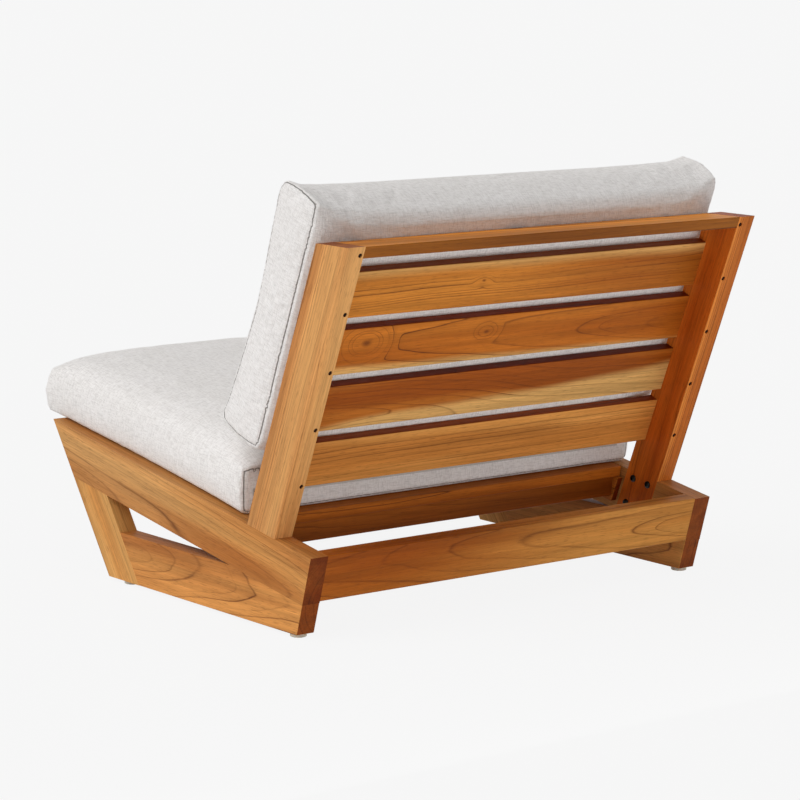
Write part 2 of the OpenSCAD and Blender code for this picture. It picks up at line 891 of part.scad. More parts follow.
// Slider over the teeth, with two ears and the pin that holds the pull
module zip_slider() {
    gap_h = slider_h / 2 - slider_ear_h;
    color(zinc)
        on_zip()
            translate([slider_x, slider_out, 0])
                union() {
                    translate([-slider_len / 2, 0, -slider_h / 2])
                        cube([slider_len, slider_t, slider_h]);
                    for (low = [-slider_h / 2, gap_h])
                        translate([-slider_ear_len / 2, 0, low])
                            cube([slider_ear_len, slider_t + pull_rise + pull_pin_d, slider_ear_h]);
                    translate([0, slider_t + pull_rise, -slider_h / 2])
                        cylinder(d = pull_pin_d, h = slider_h);
                }
}

// Pull tab, its eye on the slider's pin
module zip_pull() {
    eye_h = slider_h - 2 * slider_ear_h - 2 * pull_end_gap;
    color(zinc)
        on_zip()
            translate([slider_x, slider_out + slider_t + pull_rise, 0])
                difference() {
                    union() {
                        translate([0, 0, -eye_h / 2])
                            cylinder(d = pull_eye_d, h = eye_h);
                        translate([-pull_len, -pull_t / 2, -eye_h / 2])
                            cube([pull_len, pull_t, eye_h]);
                    }
                    translate([0, 0, -eye_h])
                        cylinder(d = pull_pin_d + 2 * hole_play, h = 2 * eye_h);
                }
}

for (side = SIDES) {
    seat_rail(side);
    front_leg(side);
    foot_rail(side);
    back_post(side);
    seat_ledger(side);
    frame_dowels(side);
    glide_front(side);
    glide_rear(side);
}
for (i = [1 : back_slat_count])
    back_slat(i);
for (i = [1 : seat_slat_count])
    seat_slat(i);
back_top_rail();
rear_crossbar();
seat_beam(front_beam_s);  // seat_front_beam
seat_beam(rear_beam_s);  // seat_rear_beam
crossbar_dowels();
slat_pins();
top_rail_pins();
post_bolts();
threaded_inserts();
seat_slat_screws();
ledger_screws();
beam_screws();
seat_cushion();
seat_foam_core();
back_cushion();
back_foam_core();
zip_tape();
zip_slider();
zip_pull();
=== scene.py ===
import math
import bmesh
import bpy
import numpy as np
from mathutils import Matrix, Vector
from mathutils.bvhtree import BVHTree
from mathutils.geometry import convex_hull_2d
from mathutils.kdtree import KDTree


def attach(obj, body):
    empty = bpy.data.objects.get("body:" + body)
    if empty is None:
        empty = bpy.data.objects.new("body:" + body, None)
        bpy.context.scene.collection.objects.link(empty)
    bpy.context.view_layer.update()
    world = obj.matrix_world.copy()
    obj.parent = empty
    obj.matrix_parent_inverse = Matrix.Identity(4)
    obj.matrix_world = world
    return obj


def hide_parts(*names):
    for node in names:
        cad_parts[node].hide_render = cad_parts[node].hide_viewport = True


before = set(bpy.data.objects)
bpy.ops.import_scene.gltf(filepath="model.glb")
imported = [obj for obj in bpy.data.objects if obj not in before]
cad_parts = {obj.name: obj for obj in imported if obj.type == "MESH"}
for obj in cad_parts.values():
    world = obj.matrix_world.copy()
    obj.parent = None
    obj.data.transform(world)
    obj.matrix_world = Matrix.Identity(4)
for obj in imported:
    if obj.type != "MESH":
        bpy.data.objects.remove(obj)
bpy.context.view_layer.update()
scene = bpy.context.scene

# Camera
# It stands behind the chair's left side, a little above the back, and looks slightly down
# through a long lens, so that the upright lines stay nearly parallel.
camera_place = Vector((2.99006, 3.81928, 1.06348))
camera_yaw = math.radians(38.308)
camera_pitch = math.radians(9.188)
camera_roll = math.radians(0.376)
forward = Vector((-math.sin(camera_yaw) * math.cos(camera_pitch),
                  -math.cos(camera_yaw) * math.cos(camera_pitch), -math.sin(camera_pitch)))
level_right = forward.cross(Vector((0, 0, 1))).normalized()
level_up = level_right.cross(forward)
right = level_right * math.cos(camera_roll) + level_up * math.sin(camera_roll)
up = level_up * math.cos(camera_roll) - level_right * math.sin(camera_roll)
camera_data = bpy.data.cameras.new("camera")
camera_data.lens = 137.55
camera_data.clip_end = 200
camera = bpy.data.objects.new("camera", camera_data)
camera.matrix_world = Matrix.Translation(camera_place) @ Matrix((right, up, -forward)).transposed().to_4x4()
scene.collection.objects.link(camera)
scene.camera = camera

# Side frames
# Two frames of 32 mm solid teak: a sloping seat rail, a leaning front leg under its tip and a foot
# rail, glued and dowelled on mitred seams, sanded flush, with their edges eased and oiled.
SIDES = {"left": 1, "right": -1}
outer_x = 0.400
lap_x = 0.384
inner_x = 0.368
edge_round = 0.0022
seam_share = 0.27
sharp_edge = math.radians(38)


def colour(code):
    """An sRGB hex value as linear RGBA."""
    parts = [int(code[i:i + 2], 16) / 255 for i in (1, 3, 5)]
    return [c / 12.92 if c <= 0.04045 else ((c + 0.055) / 1.055) ** 2.4 for c in parts] + [1]


def add(tree, kind, inputs, **settings):
    """Adds a node with its settings, and links or sets its inputs."""
    node = tree.nodes.new(kind)
    for name, value in settings.items():
        setattr(node, name, value)
    for key, value in inputs.items():
        if isinstance(value, bpy.types.NodeSocket):
            tree.links.new(value, node.inputs[key])
        else:
            node.inputs[key].default_value = value
    return node


def new_finish(name):
    """A new material, with its node tree and its surface."""
    material = bpy.data.materials.new(name)
    material.use_nodes = True
    return material, material.node_tree, material.node_tree.nodes["Principled BSDF"]


def teak(name, centre, along, out, cut, tone="#CE8436", deep="#A8601E", line="#5E2E10", ring=0.0055,
         pith=(-0.05, 0.0), tilt=(2.0, 0.6), wander=0.016, pale=None, knots=(), lines=1.0, tone_and_painted_light_along=None,
         painted_light_by_facing=None):
    """Oiled teak, sawn from a trunk whose rings the board's faces cut. Along the grain it reads
    as long streaks and arches, and at the cut ends as dark grey-brown arcs.
    along is the grain's direction, out the board's show face, and cut tells the trunk's place.
    pith is the trunk's middle behind that face and across it, and tilt its lean, in degrees.
    pale gives the sapwood's edges across the face and its slope along it, and each knot is its place
    along and across the board, its size and its rings. The tint along the board grows from one place
    along it to another: a painted sheen on the seat rails, and painted shade with darker wood on the
    crossbar. The tint by facing is painted on the faces turned one way: painted shade on the slats' top
    faces and the right post's inner face, and painted light on the top rail's top face."""
    material, tree, surface = new_finish(name)
    along, out = Vector(along).normalized(), Vector(out).normalized()
    turn = Matrix((out, along, out.cross(along)))
    where = add(tree, "ShaderNodeTexCoord", {})
    place = add(tree, "ShaderNodeMapping", {
        "Vector": where.outputs["Object"], "Rotation": turn.to_euler("XYZ"),
        "Location": -(turn @ Vector(centre))}).outputs[0]
    trunk = add(tree, "ShaderNodeVectorMath", {
        0: place, 1: (cut * 1.73, cut * 2.91, cut * 1.19)}, operation="ADD").outputs[0]

    # Noise through the board, each with its scale across, along and across the grain, per metre:
    # slow and quick wander, broken lines, broad and narrow bands, fibres and pores. Teak's fibres are
    # under 1 mm wide; the streaks are drawn 3 mm wide too, as the fine ones alone don't show.
    noise = {}
    for kind, scale, detail, rough in (
            ("slow", (5, 1.5, 5), 2, 0.5), ("quick", (40, 6, 40), 3, 0.5),
            ("broken", (26, 2.6, 26), 2, 0.5), ("broad", (15, 1.0, 15), 3, 0.5),
            ("narrow", (62, 1.7, 62), 3, 0.55),
            ("streaks", (330, 8, 330), 3, 0.6), ("fibres", (760, 15, 760), 3, 0.62),
            ("pores", (900, 52, 900), 1, 0.5)):
        stretched = add(tree, "ShaderNodeVectorMath", {0: trunk, 1: scale}, operation="MULTIPLY")
        noise[kind] = add(tree, "ShaderNodeTexNoise", {
            "Vector": stretched.outputs[0], "Scale": 1, "Detail": detail, "Roughness": rough}).outputs

    # The grain wanders slowly, and wavers a little between rings
    slow = add(tree, "ShaderNodeVectorMath", {0: noise["slow"]["Color"], 1: (0.5, 0.5, 0.5)},
               operation="SUBTRACT")
    quick = add(tree, "ShaderNodeVectorMath", {0: noise["quick"]["Color"], 1: (0.5, 0.5, 0.5)},
                operation="SUBTRACT")
    bent = add(tree, "ShaderNodeVectorMath", {
        0: slow.outputs[0], 1: (wander * 2, 0, wander * 2), 2: place}, operation="MULTIPLY_ADD")
    bent = add(tree, "ShaderNodeVectorMath", {
        0: quick.outputs[0], 1: (0.0036, 0, 0.0036), 2: bent.outputs[0]},
        operation="MULTIPLY_ADD").outputs[0]

    # Growth rings round the trunk's middle, pushed out round each knot, and unevenly wide
    leaning = add(tree, "ShaderNodeMapping", {
        "Vector": bent, "Rotation": (math.radians(tilt[1]), 0, math.radians(tilt[0])),
        "Location": (-pith[0], 0, -pith[1])})
    level = add(tree, "ShaderNodeVectorMath", {0: leaning.outputs[0], 1: (1, 0, 1)}, operation="MULTIPLY")
    radius = add(tree, "ShaderNodeVectorMath", {0: level.outputs[0]}, operation="LENGTH")
    rings = add(tree, "ShaderNodeMath", {0: radius.outputs["Value"], 1: ring},
                operation="DIVIDE").outputs[0]
    eyes = []
    for knot_y, knot_z, knot_r, knot_rings in knots:
        near = add(tree, "ShaderNodeVectorMath", {0: bent, 1: (0, 0.6, 1)}, operation="MULTIPLY")
        off = add(tree, "ShaderNodeVectorMath", {0: near.outputs[0], 1: (0, knot_y * 0.6, knot_z)},
                  operation="DISTANCE").outputs["Value"]
        swirl = add(tree, "ShaderNodeMapRange", {"Value": off, 1: knot_r, 2: 0, 3: 0, 4: knot_rings},
                    interpolation_type="SMOOTHERSTEP")
        rings = add(tree, "ShaderNodeMath", {0: rings, 1: swirl.outputs[0]}, operation="ADD").outputs[0]
        eyes.append(add(tree, "ShaderNodeMapRange", {"Value": off, 1: knot_r * 0.2, 2: 0, 3: 0, 4: 0.8},
                        interpolation_type="SMOOTHERSTEP").outputs[0])
    pace = add(tree, "ShaderNodeMath", {0: rings, 1: 0.37}, operation="MULTIPLY")
    uneven = add(tree, "ShaderNodeTexNoise", {"W": pace.outputs[0], "Scale": 1, "Detail": 1},
                 noise_dimensions="1D")
    rings = add(tree, "ShaderNodeMath", {0: uneven.outputs[0], 1: 3.0, 2: rings},
                operation="MULTIPLY_ADD").outputs[0]

    # Each ring ends in a dark line of pores; some rings are strong and others barely show
    turned_to = add(tree, "ShaderNodeMath", {0: rings}, operation="FRACT")
    shade = add(tree, "ShaderNodeValToRGB", {"Fac": turned_to.outputs[0]})
    stops = shade.color_ramp.elements
    stops[0].position, stops[0].color = 0.0, (0.36, 0.36, 0.36, 1)
    stops[1].position, stops[1].color = 1.0, (0.36, 0.36, 0.36, 1)
    for at, value in ((0.04, 0.03), (0.5, 0.05), (0.88, 0.24), (0.96, 1.0)):
        stops.new(at).color = (value, value, value, 1)
    which = add(tree, "ShaderNodeMath", {0: rings, 1: cut * 10.3}, operation="ADD")
    which = add(tree, "ShaderNodeMath", {0: which.outputs[0]}, operation="FLOOR")
    each = add(tree, "ShaderNodeTexWhiteNoise", {"W": which.outputs[0]}, noise_dimensions="1D")
    each = add(tree, "ShaderNodeMapRange", {"Value": each.outputs["Value"], 1: 0, 2: 1, 3: 0.2, 4: 1.1})
    strong = add(tree, "ShaderNodeMapRange", {
        "Value": noise["broken"]["Fac"], 1: 0.32, 2: 0.68, 3: 0.5 * lines, 4: 1.35 * lines})
    strong = add(tree, "ShaderNodeMath", {0: strong.outputs[0], 1: each.outputs[0]}, operation="MULTIPLY")
    ring_share = add(tree, "ShaderNodeMath", {0: shade.outputs["Color"], 1: strong.outputs[0]},
                     operation="MULTIPLY", use_clamp=True)

    # Broad and narrow bands of tone, sapwood, rings, streaks, fibres and short open pores
    share = add(tree, "ShaderNodeMapRange", {"Value": noise["broad"]["Fac"], 1: 0.36, 2: 0.64, 3: 0, 4: 1},
                interpolation_type="SMOOTHSTEP")
    wood = add(tree, "ShaderNodeMix", {0: share.outputs[0], 6: colour(tone), 7: colour(deep)},
               data_type="RGBA").outputs[2]
    if pale is not None:
        across = add(tree, "ShaderNodeVectorMath", {0: bent, 1: (0, -pale[2], 1)}, operation="DOT_PRODUCT")
        share = add(tree, "ShaderNodeMapRange", {
            "Value": across.outputs["Value"], 1: pale[0], 2: pale[1], 3: 0, 4: 0.85},
            interpolation_type="SMOOTHSTEP")
        wood = add(tree, "ShaderNodeMix", {0: share.outputs[0], 6: wood, 7: colour("#DFB06A")},
                   data_type="RGBA").outputs[2]
    wood = add(tree, "ShaderNodeMix", {0: ring_share.outputs[0], 6: wood, 7: colour(line)},
               data_type="RGBA").outputs[2]
    for kind, low, high in (("narrow", 0.84, 1.15), ("streaks", 0.9, 1.09), ("fibres", 0.9, 1.08)):
        factor = add(tree, "ShaderNodeMapRange", {
            "Value": noise[kind]["Fac"], 1: 0.32, 2: 0.68, 3: low, 4: high})
        wood = add(tree, "ShaderNodeMix", {0: 1.0, 6: wood, 7: factor.outputs[0]}, data_type="RGBA",
                   blend_type="MULTIPLY").outputs[2]
    # Painted light along the board: a tint that grows from one place to another, standing for a sheen of
    # light on some boards and for shade with darker wood on others
    if tone_and_painted_light_along is not None:
        at = add(tree, "ShaderNodeSeparateXYZ", {0: place})
        share = add(tree, "ShaderNodeMapRange", {
            "Value": at.outputs["Y"], 1: tone_and_painted_light_along[0], 2: tone_and_painted_light_along[1], 3: 0, 4: 1},
            interpolation_type="SMOOTHSTEP")
        wood = add(tree, "ShaderNodeMix", {0: share.outputs[0], 6: wood, 7: tone_and_painted_light_along[2]}, data_type="RGBA",
                   blend_type="MULTIPLY").outputs[2]
    # Painted light and shade by facing: faces turned one way take a tint standing for how light falls on
    # them
    if painted_light_by_facing is not None:
        facing = add(tree, "ShaderNodeVectorMath", {0: where.outputs["Normal"], 1: painted_light_by_facing[0]},
                     operation="DOT_PRODUCT")
        share = add(tree, "ShaderNodeMapRange", {
            "Value": facing.outputs["Value"], 1: 0.6, 2: 0.95, 3: 0, 4: 1}, interpolation_type="SMOOTHSTEP")
        wood = add(tree, "ShaderNodeMix", {0: share.outputs[0], 6: wood, 7: painted_light_by_facing[1]}, data_type="RGBA",
                   blend_type="MULTIPLY").outputs[2]
    pores = add(tree, "ShaderNodeMapRange", {
        "Value": noise["pores"]["Fac"], 1: 0.6, 2: 0.7, 3: 0, 4: 0.32})
    wood = add(tree, "ShaderNodeMix", {0: pores.outputs[0], 6: wood, 7: colour("#54290F")},
               data_type="RGBA").outputs[2]
    for eye in eyes:
        wood = add(tree, "ShaderNodeMix", {0: eye, 6: wood, 7: colour("#6A3412")},
                   data_type="RGBA").outputs[2]

    # Cut ends drink more oil, so they are darker and greyer
    facing = add(tree, "ShaderNodeVectorMath", {0: where.outputs["Normal"], 1: along},
                 operation="DOT_PRODUCT")
    facing = add(tree, "ShaderNodeMath", {0: facing.outputs["Value"]}, operation="ABSOLUTE")
    ended = add(tree, "ShaderNodeMapRange", {"Value": facing.outputs[0], 1: 0.62, 2: 0.98, 3: 0, 4: 1},
                interpolation_type="SMOOTHSTEP")
    wood = add(tree, "ShaderNodeMix", {0: ended.outputs[0], 6: wood, 7: colour("#A87C5C")},
               data_type="RGBA", blend_type="MULTIPLY").outputs[2]
    tree.links.new(wood, surface.inputs["Base Color"])
    gloss = add(tree, "ShaderNodeMapRange", {
        "Value": noise["fibres"]["Fac"], 1: 0.3, 2: 0.7, 3: 0.56, 4: 0.42})
    tree.links.new(gloss.outputs[0], surface.inputs["Roughness"])
    surface.inputs["IOR"].default_value = 1.47
    surface.inputs["Specular IOR Level"].default_value = 0.1
    height = add(tree, "ShaderNodeMath", {0: noise["fibres"]["Fac"], 1: 0.5}, operation="MULTIPLY")
    height = add(tree, "ShaderNodeMath", {0: height.outputs[0], 1: pores.outputs[0]}, operation="SUBTRACT")
    relief = add(tree, "ShaderNodeBump", {
        "Height": height.outputs[0], "Strength": 0.35, "Distance": 0.0004})
    tree.links.new(relief.outputs[0], surface.inputs["Normal"])
    return material


def side_view(node, x):
    """Corners (y, z) of a CAD board's flat face at x, in order round it."""
    at_x = {(round(v.co.y, 6), round(v.co.z, 6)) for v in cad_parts[node].data.vertices
            if abs(v.co.x - x) < 2e-5}
    flat = [Vector(p) for p in sorted(at_x)]
    hull = [flat[i] for i in convex_hull_2d(flat)]
    kept = []
    for i, p in enumerate(hull):
        before, after = (p - hull[i - 1]).normalized(), (hull[(i + 1) % len(hull)] - p).normalized()
        if abs(before.x * after.y - before.y * after.x) > 0.01:
            kept.append(p)
    return kept


def on_line(point, a, b, slack=4e-4):
    """Whether a point of the side view lies on the line from a to b."""
    way = (b - a).normalized()
    t = (point - a).dot(way)
    return (point - a - way * t).length < slack and -slack < t < (b - a).length + slack


def with_joints(outline, points, ease=0.005):
    """The outline with its neighbours' corners let into its edges, and a point just beside each."""
    made = []
    for i, p in enumerate(outline):
        q = outline[(i + 1) % len(outline)]
        length = (q - p).length
        stations = set()
        for point in points:
            if on_line(point, p, q):
                t = (point - p).dot(q - p) / length
                stations.update((round(t - ease, 5), round(t, 5), round(t + ease, 5)))
        made.append(p)
        made += [p + (q - p) * t / length for t in sorted(stations) if 0.001 < t < length - 0.001]
    return made


def settled(made, kind=None, **settings):
    """Applies the object's modifiers, after one more of the kind given, to its mesh."""
    if kind:
        step = made.modifiers.new(kind, kind)
        for key, value in settings.items():
            setattr(step, key, value)
    bpy.context.view_layer.update()
    plain = bpy.data.meshes.new_from_object(made.evaluated_get(bpy.context.evaluated_depsgraph_get()))
    made.modifiers.clear()
    made.data = plain
    return made


def new_object(name, bm):
    """A linked object of a finished bmesh."""
    mesh = bpy.data.meshes.new(name)
    bm.to_mesh(mesh)
    bm.free()
    made = bpy.data.objects.new(name, mesh)
    scene.collection.objects.link(made)
    return made


def dressed(made, body, material, slot, *nodes):
    """Gives a piece its finish, its body and the CAD nodes that it stands for, which it hides. The material
    slot is not used.
    """
    made.data.name = made.name
    made.data.materials.clear()
    made.data.materials.append(material)
    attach(made, body)
    if nodes:
        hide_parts(*nodes)
    return made


def shaded(made):
    """Shades a hard piece smooth between its sharp edges, with its flat faces kept flat."""
    made.data.shade_smooth()
    made.data.set_sharp_from_angle(angle=sharp_edge)
    settled(made, "WEIGHTED_NORMAL", keep_sharp=True, weight=100)


def between(sign, a, b):
    """The lower and upper x of what lies between two distances from the middle, on one side."""
    return sorted((sign * a, sign * b))


def prism(outline, x0, x1):
    """A closed prism of a side view between two values of x."""
    bm = bmesh.new()
    low = [bm.verts.new((x0, p[0], p[1])) for p in outline]
    high = [bm.verts.new((x1, p[0], p[1])) for p in outline]
    bm.faces.new(low)
    bm.faces.new(high)
    for i in range(len(outline)):
        j = (i + 1) % len(outline)
        bm.faces.new((low[i], low[j], high[j], high[i]))
    bmesh.ops.recalc_face_normals(bm, faces=bm.faces)
    return bm


def drills(holes):
    """Cutters for round holes: each is its mouth, the way in, its radius, depth and mouth's radius."""
    bm = bmesh.new()
    sides = 24
    for mouth, way, radius, depth, rim in holes:
        turn = Matrix.Translation(mouth) @ way.to_track_quat("Z", "Y").to_matrix().to_4x4()
        rings = []
        for level, size in ((-0.002, rim), (0, rim), (max(rim - radius, 1e-4), radius), (depth, radius)):
            rings.append([bm.verts.new(turn @ Vector((
                size * math.cos(math.tau * k / sides), size * math.sin(math.tau * k / sides), level)))
                for k in range(sides)])
        for low, high in zip(rings, rings[1:]):
            for k in range(sides):
                j = (k + 1) % sides
                bm.faces.new((low[k], low[j], high[j], high[k]))
        bm.faces.new(rings[0])
        bm.faces.new(rings[-1])
    bmesh.ops.recalc_face_normals(bm, faces=bm.faces)
    return bm


def board(name, layers, material, nodes, seams=(), end_seams=False, cutters=()):
    """A teak board from its side views: each layer is an outline and its lower and upper x. Free
    edges are eased; edges on a seam, a pair of points and perhaps an x, are eased just enough to show.
    The cutters are bmeshes of the pockets and holes."""
    bm = bmesh.new()
    verts, sides = {}, {}
    for outline, x0, x1 in layers:
        low = [(round(x0, 5), round(p[0], 5), round(p[1], 5)) for p in outline]
        high = [(round(x1, 5), round(p[0], 5), round(p[1], 5)) for p in outline]
        loops = [low, high]
        for i in range(len(outline)):
            j = (i + 1) % len(outline)
            loops.append([low[i], low[j], high[j], high[i]])
        for loop in loops:
            key = frozenset(loop)
            if key in sides:
                del sides[key]
            else:
                sides[key] = loop
    for loop in sides.values():
        for place in loop:
            if place not in verts:
                verts[place] = bm.verts.new(place)
        bm.faces.new([verts[place] for place in loop])
    bmesh.ops.recalc_face_normals(bm, faces=bm.faces)
    weight = bm.edges.layers.float.new("bevel_weight_edge")
    for edge in bm.edges:
        if len(edge.link_faces) != 2 or edge.calc_face_angle(0) < math.radians(12):
            continue
        p, q = (Vector(v.co.yz) for v in edge.verts)
        xs = [v.co.x for v in edge.verts]
        seam = end_seams and (p - q).length > 1e-5
        for a, b, *at in seams:
            beside = not at or max(abs(abs(x) - at[0]) for x in xs) < 1e-4
            if beside and on_line(p, a, b) and on_line(q, a, b):
                seam = True
        edge[weight] = seam_share if seam else 1.0
    made = new_object(name, bm)
    settled(made, "BEVEL", limit_method="WEIGHT", width=edge_round, segments=3)
    for cutter in cutters:
        tool = new_object("cutter", cutter)
        settled(made, "BOOLEAN", object=tool, operation="DIFFERENCE", solver="EXACT",
                use_hole_tolerant=True)
        bpy.data.objects.remove(tool)
    shaded(made)
    return dressed(made, "frame", material, "teak", *nodes)


def middle(outline, x=lap_x):
    """The middle of an outline, as a place in the chair."""
    mean = sum(outline, Vector((0, 0))) / len(outline)
    return Vector((x, mean[0], mean[1]))


# Corners of the left side's boards; the right side's are the same
rail_low_end, rail_top_end, rail_tip, rail_tip_low = side_view("seat_rail_left", outer_x)
leg_toe, leg_heel, leg_top, leg_front = side_view("front_leg_left", outer_x)
foot_front, foot_end, foot_rear_top, foot_top_end, foot_top_front = side_view("foot_rail_left", outer_x)
post_rear_foot, post_rear_top, post_front_top, post_front_foot = side_view("back_post_left", outer_x)
tongue_rear, _, _, tongue_front = side_view("back_post_left", inner_x)
bar_low_rear, bar_top_rear, bar_top_front, bar_low_front = side_view("rear_crossbar", inner_x)
rail_forward = Vector((0, *(rail_tip - rail_top_end).normalized()))
rail_up = Vector((0, rail_forward.z, -rail_forward.y))
post_up = Vector((0, *(post_rear_top - post_rear_foot).normalized()))
post_forward = Vector((0, -post_up.z, post_up.y))
leg_down = Vector((0, *(leg_toe - rail_tip_low).normalized()))
corners = [rail_tip_low, leg_top, leg_heel, foot_top_front, foot_rear_top, foot_top_end,
           post_front_foot, post_rear_foot, tongue_rear, tongue_front, bar_top_front, bar_low_rear]
seams = [(rail_tip_low, leg_top), (foot_rear_top, foot_top_end), (leg_heel, foot_top_front),
         (post_front_foot, post_rear_foot), (rail_top_end, bar_low_rear, inner_x),
         (rail_top_end, bar_top_front, inner_x)]
rail_view = with_joints([rail_low_end, rail_top_end, rail_tip, rail_tip_low], corners)
leg_view = with_joints([leg_toe, leg_heel, leg_top, leg_front], corners)
foot_view = with_joints([foot_front, foot_end, foot_rear_top, foot_top_end, foot_top_front], corners)
pocket_over = 0.002
lap = [p + q * 0.003 * Vector(post_up.yz) for p, q in (
    (tongue_rear, -1), (post_rear_foot, 1), (post_front_foot, 1), (tongue_front, -1))]

for side, sign in SIDES.items():
    x0, x1 = between(sign, inner_x, outer_x)
    face = (sign, 0, 0)
    cut = 0 if sign > 0 else 10
    # The seat rails turn paler and less orange towards the front tip, a painted sheen of light on their
    # outer faces
    rail_wood = teak(f"oiled teak, seat rail {side}", middle(rail_view), rail_forward, face, cut + 1.0,
                     tone="#CF9452", deep="#AD6A30", pith=(-0.07, 0.03), tilt=(2.6, -0.8), ring=0.006,
                     lines=0.75, tone_and_painted_light_along=(-0.1, 0.3, (1.02, 1.12, 1.35, 1)))
    leg_wood = teak(f"oiled teak, front leg {side}", middle(leg_view), leg_down, face, cut + 3.1,
                    tone="#DDA560", deep="#C1803E", pith=(-0.02, 0.16), tilt=(0.6, 0.4), ring=0.0048,
                    lines=0.6)
    foot_wood = teak(f"oiled teak, foot rail {side}", middle(foot_view), (0, -1, 0), face, cut + 5.7,
                     tone="#D3924E", deep="#AD6830", pith=(-0.045, 0.008), tilt=(3.4, 1.0), ring=0.0072,
                     wander=0.03)
    pocket = prism(lap, *between(sign, inner_x - pocket_over, lap_x))
    board(f"teak_seat_rail_{side}", [(rail_view, x0, x1)], rail_wood, [f"seat_rail_{side}"], seams,
          cutters=[pocket])
    board(f"teak_front_leg_{side}", [(leg_view, x0, x1)], leg_wood, [f"front_leg_{side}"], seams)
    board(f"teak_foot_rail_{side}", [(foot_view, x0, x1)], foot_wood, [f"foot_rail_{side}"], seams)

# Back posts
# Leaning 32 by 70 mm teak posts, flush with the seat rails outside; each post's lower end is cut to
# half its thickness and let into the rail's inner face. Pins lock the slats from the rear edges.
post_upper = with_joints([post_front_foot, post_rear_foot, post_rear_top, post_front_top], corners)
post_tongue = [tongue_front, tongue_rear, post_rear_foot, post_front_foot]
top_drop = 0.018
post_rear_low = post_rear_top - Vector(post_up.yz) * top_drop / post_up.z
post_front_low = post_front_top - Vector(post_up.yz) * top_drop / post_up.z
post_upper = with_joints(post_upper, [post_rear_low, post_front_low])
post_seams = [(post_front_foot, post_rear_foot), (post_rear_foot, tongue_rear),
              (post_front_foot, tongue_front), (tongue_rear, tongue_front),
              (post_rear_top, post_front_top, inner_x), (post_rear_top, post_rear_low, inner_x),
              (post_front_top, post_front_low, inner_x)]


def joined_copy(node):
    """A bmesh of a CAD node, whose loose triangles are joined."""
    bm = bmesh.new()
    bm.from_mesh(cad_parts[node].data)
    bmesh.ops.remove_doubles(bm, verts=bm.verts, dist=1e-6)
    return bm


def solids_in(bm):
    """The vertices of each separate solid of a bmesh."""
    groups, seen = [], set()
    for start in bm.verts:
        if start in seen:
            continue
        group, stack = [], [start]
        seen.add(start)
        while stack:
            v = stack.pop()
            group.append(v)
            for edge in v.link_edges:
                other = edge.other_vert(v)
                if other not in seen:
                    seen.add(other)
                    stack.append(other)
        groups.append(group)
    return groups


def islands(node):
    """The points of each separate solid of a CAD node."""
    bm = joined_copy(node)
    found = [[v.co.copy() for v in group] for group in solids_in(bm)]
    bm.free()
    return found


def end_of(group, way):
    """The middle of a solid's end that lies furthest along a direction."""
    far = max(p.dot(way) for p in group)
    last = [p for p in group if p.dot(way) > far - 1e-5]
    return sum(last, Vector()) / len(last)


pin_hole = 0.0034
pin_hole_rim = 0.0037
pin_hole_depth = 0.006
pin_ends = [end_of(g, -post_forward) for node in ("slat_pins", "top_rail_pins") for g in islands(node)]
for side, sign in SIDES.items():
    layers = [(post_upper, *between(sign, lap_x, outer_x)), (post_upper, *between(sign, inner_x, lap_x)),
              (post_tongue, *between(sign, inner_x, lap_x))]
    centre = middle(post_upper, sign * lap_x)
    # The right post's inner face is tinted darker and redder: painted shade with a painted warm bounce from
    # the wood around it
    if sign > 0:
        post_wood = teak("oiled teak, back post left", centre, post_up, (1, 0, 0), 7.3, tone="#DBA262",
                         deep="#BF7E45", pith=(-0.03, 0.09), tilt=(0.5, 0.5), ring=0.0058)
    else:
        post_wood = teak("oiled teak, back post right", centre, post_up, (1, 0, 0), 8.9, tone="#E48E3E",
                         deep="#B86424", pith=(-0.09, -0.05), tilt=(0.8, 0.3), ring=0.0062,
                         painted_light_by_facing=((1, 0, 0), (0.95, 0.66, 0.4, 1)))
    pin_holes = drills([(p - post_forward * 1e-5, post_forward, pin_hole, pin_hole_depth, pin_hole_rim)
                        for p in pin_ends if p.x * sign > 0])
    board(f"teak_back_post_{side}", layers, post_wood, [f"back_post_{side}"], post_seams,
          cutters=[pin_holes])

# Back slats and top rail
# Four flat 76 by 18 mm teak slats and a top rail laid flat between the post tops, tenoned into the
# posts and flush with their front edges; the top rail is sanded flush with the posts all round.
slat_out = -post_forward
slat_looks = {
    1: dict(tone="#CE8230", deep="#A65C1A", pith=(-0.035, 0.055), tilt=(-0.9, -0.9), ring=0.005,
            pale=(0.018, 0.04, 0), knots=[(-0.078, 0.004, 0.018, 1.6)]),
    2: dict(tone="#CA7626", deep="#A35414", pith=(-0.028, 0.004), tilt=(4.2, 0.6), ring=0.0085,
            pale=(-0.024, -0.038, 0), knots=[(-0.274, 0.008, 0.045, 4.5), (-0.045, 0.01, 0.026, 2.6)]),
    3: dict(tone="#C8782C", deep="#984C12", pith=(-0.02, -0.05), tilt=(-2.4, 3.2), ring=0.008,
            pale=(-0.01, -0.026, 0.1), wander=0.04),
    4: dict(tone="#EAA556", deep="#C8803A", pith=(-0.04, 0.09), tilt=(0.9, -1.6), ring=0.008),
}
# Each slat's top face, down in the gap under the slat above, is darkened with painted shade
for i, look in slat_looks.items():
    view = side_view(f"back_slat_{i}", inner_x)
    slat_wood = teak(f"oiled teak, back slat {i}", middle(view, 0), (-1, 0, 0), slat_out, 20.3 + 3.7 * i,
                      painted_light_by_facing=(post_up, (0.36, 0.15, 0.05, 1)), **look)
    board(f"teak_back_slat_{i}", [(view, -inner_x, inner_x)], slat_wood, [f"back_slat_{i}"], end_seams=True)
top_view = side_view("back_top_rail", inner_x)
